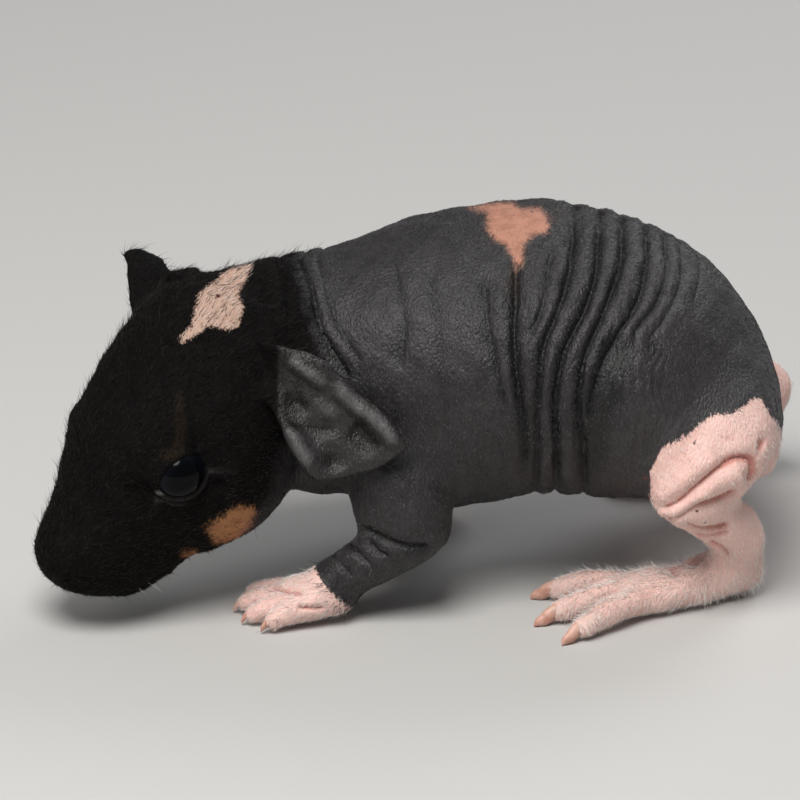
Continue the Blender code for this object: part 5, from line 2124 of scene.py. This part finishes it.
@dataclass(frozen=True)
class Coat:
    """One kind of hair over the skin.

    Attributes:
        name: The piece's name.
        grows: The attribute that says where it grows.
        hair: Its kind of hair.
        density: Hairs to a square millimetre where that is 1.
        length: How long each is, in millimetres.
        radius: How thick its root is.
        lift: How far it stands off the skin, in degrees.
        spread: How unevenly the hairs turn.
        seed: Fixes the draw.
        slot: The name of a finish in the record; not used.
        joints: How many straight lengths each hair has.
        bend: How far its tip bends aside, as a share of its length.
    """

    name: str
    grows: str
    hair: Hair
    density: float
    length: float
    radius: float
    lift: float
    spread: float
    seed: int
    slot: str = "dark_skin"
    joints: int = 1
    bend: float = 0.0

    def tree(self, material: bpy.types.Material) -> bpy.types.NodeTree:
        """The node tree that grows the hairs.

        Args:
            material: The hairs' material.

        Returns:
            The finished tree.
        """
        g = Growth(bpy.data.node_groups.new(self.name, "GeometryNodeTree"))
        face = g.tree.interface
        face.new_socket("Geometry", in_out="INPUT", socket_type="NodeSocketGeometry")
        for label in ("Density", "Length", "Radius", "Lift", "Spread"):
            face.new_socket(label, in_out="INPUT", socket_type="NodeSocketFloat")
        face.new_socket("Seed", in_out="INPUT", socket_type="NodeSocketInt")
        face.new_socket("Geometry", in_out="OUTPUT", socket_type="NodeSocketGeometry")
        start = g.tree.nodes.new("NodeGroupInput").outputs
        end = g.tree.nodes.new("NodeGroupOutput")
        grown = g.number("MULTIPLY", g.named(self.grows, "FLOAT"), start["Density"])
        scatter = {"Mesh": start["Geometry"], "Density": grown, "Seed": start["Seed"]}
        spots = g.add("GeometryNodeDistributePointsOnFaces", {"distribute_method": "RANDOM"}, scatter)
        normal = spots.node.outputs["Normal"]
        spots = g.store(spots, "tone", "FLOAT", "POINT", g.chance("FLOAT", 0.0, 1.0, 9))
        jitter = g.chance("FLOAT_VECTOR", (-1.0,) * 3, (1.0,) * 3)
        flat = g.plus(g.named("lie", "FLOAT_VECTOR"), g.scaled(jitter, start["Spread"]))
        flat = g.scaled(flat, g.number("COSINE", start["Lift"]))
        along = g.plus(flat, g.scaled(normal, g.number("SINE", start["Lift"])))
        turn = g.add("FunctionNodeAlignRotationToVector", {"axis": "Z"}, {"Vector": along})
        reach = g.number("MULTIPLY", g.chance("FLOAT", 0.55, 1.3, 3), start["Length"])
        sizes = g.vector(start["Radius"], start["Radius"], reach)
        cone = {"Vertices": 3, "Side Segments": self.joints, "Radius Top": 0.0, "Radius Bottom": 1.0}
        hair = g.add("GeometryNodeMeshCone", {"fill_type": "NGON"}, {**cone, "Depth": 1.0})
        spot = g.add("GeometryNodeInputPosition", {}, {})
        if self.bend:
            height = g.add("ShaderNodeSeparateXYZ", {}, {0: spot}, 2)
            share = self.bend * self.length / self.radius
            aside = g.number("MULTIPLY", g.number("POWER", height, 2.0), share)
            hair = g.add("GeometryNodeSetPosition", {}, {"Geometry": hair, "Offset": g.vector(aside)})
        hair = g.store(hair, "patch", "FLOAT_VECTOR", "POINT", spot)
        set_out = {"Points": spots, "Instance": hair, "Rotation": turn, "Scale": sizes}
        made = g.add("GeometryNodeInstanceOnPoints", {}, set_out)
        made = g.add("GeometryNodeRealizeInstances", {}, {"Geometry": made})
        patch = g.scaled(g.named("patch", "FLOAT_VECTOR"), 0.0015)
        place = g.plus(g.named("root_place", "FLOAT_VECTOR"), patch)
        made = g.store(made, "OFBake", "FLOAT2", "CORNER", place)
        made = g.add("GeometryNodeSetMaterial", {}, {"Geometry": made, "Material": material})
        g.tree.links.new(made, end.inputs[0])
        return g.tree

    def grow(self, skin: bpy.types.Object, finish: Finish) -> bpy.types.Object:
        """Grows the hairs on the skin as one plain mesh.

        Args:
            skin: The skin, with its attributes.
            finish: The hairs' finish.

        Returns:
            The finished piece.
        """
        obj = skin.copy()
        obj.data = skin.data.copy()
        obj.name = self.name
        bpy.context.scene.collection.objects.link(obj)
        grow = obj.modifiers.new("grow", "NODES")
        grow.node_group = self.tree(finish.material)
        values = {
            "Density": self.density / MM**2,
            "Length": self.length * MM,
            "Radius": self.radius * MM,
            "Lift": math.radians(self.lift),
            "Spread": self.spread,
            "Seed": self.seed,
        }
        for item in grow.node_group.interface.items_tree:
            if item.in_out == "INPUT" and item.name in values:
                grow[item.identifier] = values[item.name]
        bake(obj)
        points = read(obj)
        points[:, 2] = np.abs(points[:, 2])
        write(obj, points)
        kept = {"OFBake", "position", "material_index", "tone"}
        for name in [item.name for item in obj.data.attributes]:
            if name not in kept and not name.startswith("."):
                obj.data.attributes.remove(obj.data.attributes[name])
        finish.dress(obj)
        LOG.info("%s: %d triangles", self.name, sum(len(face.vertices) - 2 for face in obj.data.polygons))
        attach(obj, BODY)
        return obj


# Name, attribute, kind, density, length, radius, lift, spread, seed, and then slot, joints and bend.
COATS = (
    Coat("body_fuzz_front", "grow_front", Hair.GREY, 9.0, 0.4, 0.027, 10.0, 0.2, 1),
    Coat("body_fuzz_rear", "grow_rear", Hair.GREY, 9.0, 0.4, 0.027, 10.0, 0.2, 7),
    Coat("head_fuzz", "grow_head", Hair.DARK, 9.5, 0.6, 0.04, 20.0, 0.4, 2, "head_skin"),
    Coat("foot_fuzz", "grow_feet", Hair.WHITE, 8.0, 0.9, 0.028, 15.0, 0.35, 3, "pink_skin"),
    Coat("long_hair", "grow_long", Hair.DARK, 3.2, 1.8, 0.035, 34.0, 0.5, 4, "head_skin", 3, 0.3),
    Coat("fringe", "grow_fringe", Hair.WHITE, 5.0, 1.8, 0.03, 20.0, 0.4, 5, "pink_skin", 3, 0.3),
    Coat("whiskers", "grow_whiskers", Hair.WHITE, 1.5, 3.6, 0.045, 46.0, 0.7, 6, "head_skin", 5, 0.35),
)


PHOTO_WIDTH = 800.0  # the photo's width in pixels
PIXELS_PER_MM = 7.8  # how many of them a millimetre of the pup takes up


@dataclass
class Studio:
    """The floor, the lights and the camera.

    Attributes:
        target: What the camera looks at, in the pup's axes.
        distance: How far off it stands.
        across: How wide a strip it sees at the target.
    """

    target: Place = (0.0, 0.0, 23.64)
    distance: float = 1000.0
    across: float = PHOTO_WIDTH / PIXELS_PER_MM

    @staticmethod
    def floor() -> None:
        """A plain pale floor."""
        bpy.ops.mesh.primitive_plane_add(size=6.0)
        floor = bpy.context.object
        floor.name = "floor"
        finish = Finish("floor_finish", Roughness=0.85, Base_Color=(0.5, 0.49, 0.475, 1.0))
        finish.dress(floor)

    @staticmethod
    def light(name: str, place: Place, size: float, power: float, colour: Colour) -> None:
        """One soft area light that looks at the pup.

        Args:
            name: Its name.
            place: Where it is, in metres.
            size: How wide it is, in metres.
            power: Its power in watts.
            colour: Its colour.
        """
        data = bpy.data.lights.new(name, "AREA")
        data.shape = "DISK"
        data.size, data.energy, data.color = size, power, colour
        lamp = bpy.data.objects.new(name, data)
        lamp.location = place
        lamp.rotation_euler = (Vector((0.0, 0.0, 0.03)) - Vector(place)).to_track_quat("-Z", "Y").to_euler()
        bpy.context.scene.collection.objects.link(lamp)

    def build(self, shift: Array) -> None:
        """Sets up floor, lights, world and camera.

        Args:
            shift: From the pup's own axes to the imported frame.
        """
        self.floor()
        self.light("top_light", (-0.1, -0.3, 0.52), 0.34, 4.0, (1.0, 0.99, 0.97))
        self.light("side_light", (-0.6, -0.3, 0.3), 0.5, 1.0, (1.0, 0.97, 0.93))
        self.light("back_light", (0.3, 0.45, 0.45), 0.4, 1.6, (0.95, 0.97, 1.0))
        world = bpy.data.worlds.new("studio")
        world.use_nodes = True
        sky = world.node_tree.nodes["Background"].inputs
        sky["Color"].default_value, sky["Strength"].default_value = (0.95, 0.97, 1.0, 1.0), 0.2
        bpy.context.scene.world = world
        bpy.context.scene.view_settings.view_transform = "Standard"
        data = bpy.data.cameras.new("camera")
        data.sensor_width = 36.0
        data.lens = data.sensor_width * self.distance / self.across
        data.clip_end = 20.0
        camera = bpy.data.objects.new("camera", data)
        camera.location = (np.array(self.target) + shift - side_axes(-1)[0] * self.distance) * MM
        camera.rotation_euler = (math.pi / 2.0 - SLANT, 0.0, 0.0)
        bpy.context.scene.collection.objects.link(camera)
        bpy.context.scene.camera = camera


def shift_from_frame() -> Array:
    """From the pup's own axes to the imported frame, in millimetres, read from the eyes."""
    boxes = [(np.mean([list(corner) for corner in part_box(eye.node)], axis=0), eye) for eye in EYES]
    return np.mean([middle / MM - eye.centre for middle, eye in boxes], axis=0)


def settle(obj: bpy.types.Object, shift: Array) -> None:
    """Moves a piece's mesh from the pup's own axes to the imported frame."""
    obj.data.transform(Matrix.Translation(Vector(shift * MM)))


def main() -> None:
    """Builds and dresses the pup, then sets up the studio."""
    logging.basicConfig(level=logging.INFO, format="%(message)s")
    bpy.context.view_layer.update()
    shift = shift_from_frame()
    LOG.info("shift %s", np.round(shift, 3).tolist())
    skin = Skin()
    skin.build()
    Markings(skin).store()
    settle(skin.obj, shift)
    SkinFinish().make().dress(skin.obj)
    eyes, claws = EyeBalls(), Claws()
    for group in (eyes, claws):
        group.build()
    for obj in eyes.objects + [obj for obj, _ in claws.objects]:
        settle(obj, shift)
    eyes.dress()
    claws.dress()
    hairs = {hair: hair.finish() for hair in Hair}
    for coat in COATS:
        coat.grow(skin.obj, hairs[coat.hair])
    nodes = ["head", "neck", "shoulders", "flank", "rump", "ear_left", "ear_right"]
    for leg in LEGS:
        nodes += leg.nodes
    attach(skin.obj, BODY)
    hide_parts(*nodes)
    skin.obj.name = "skin"
    Studio().build(shift)


if __name__ == "__main__":
    main()
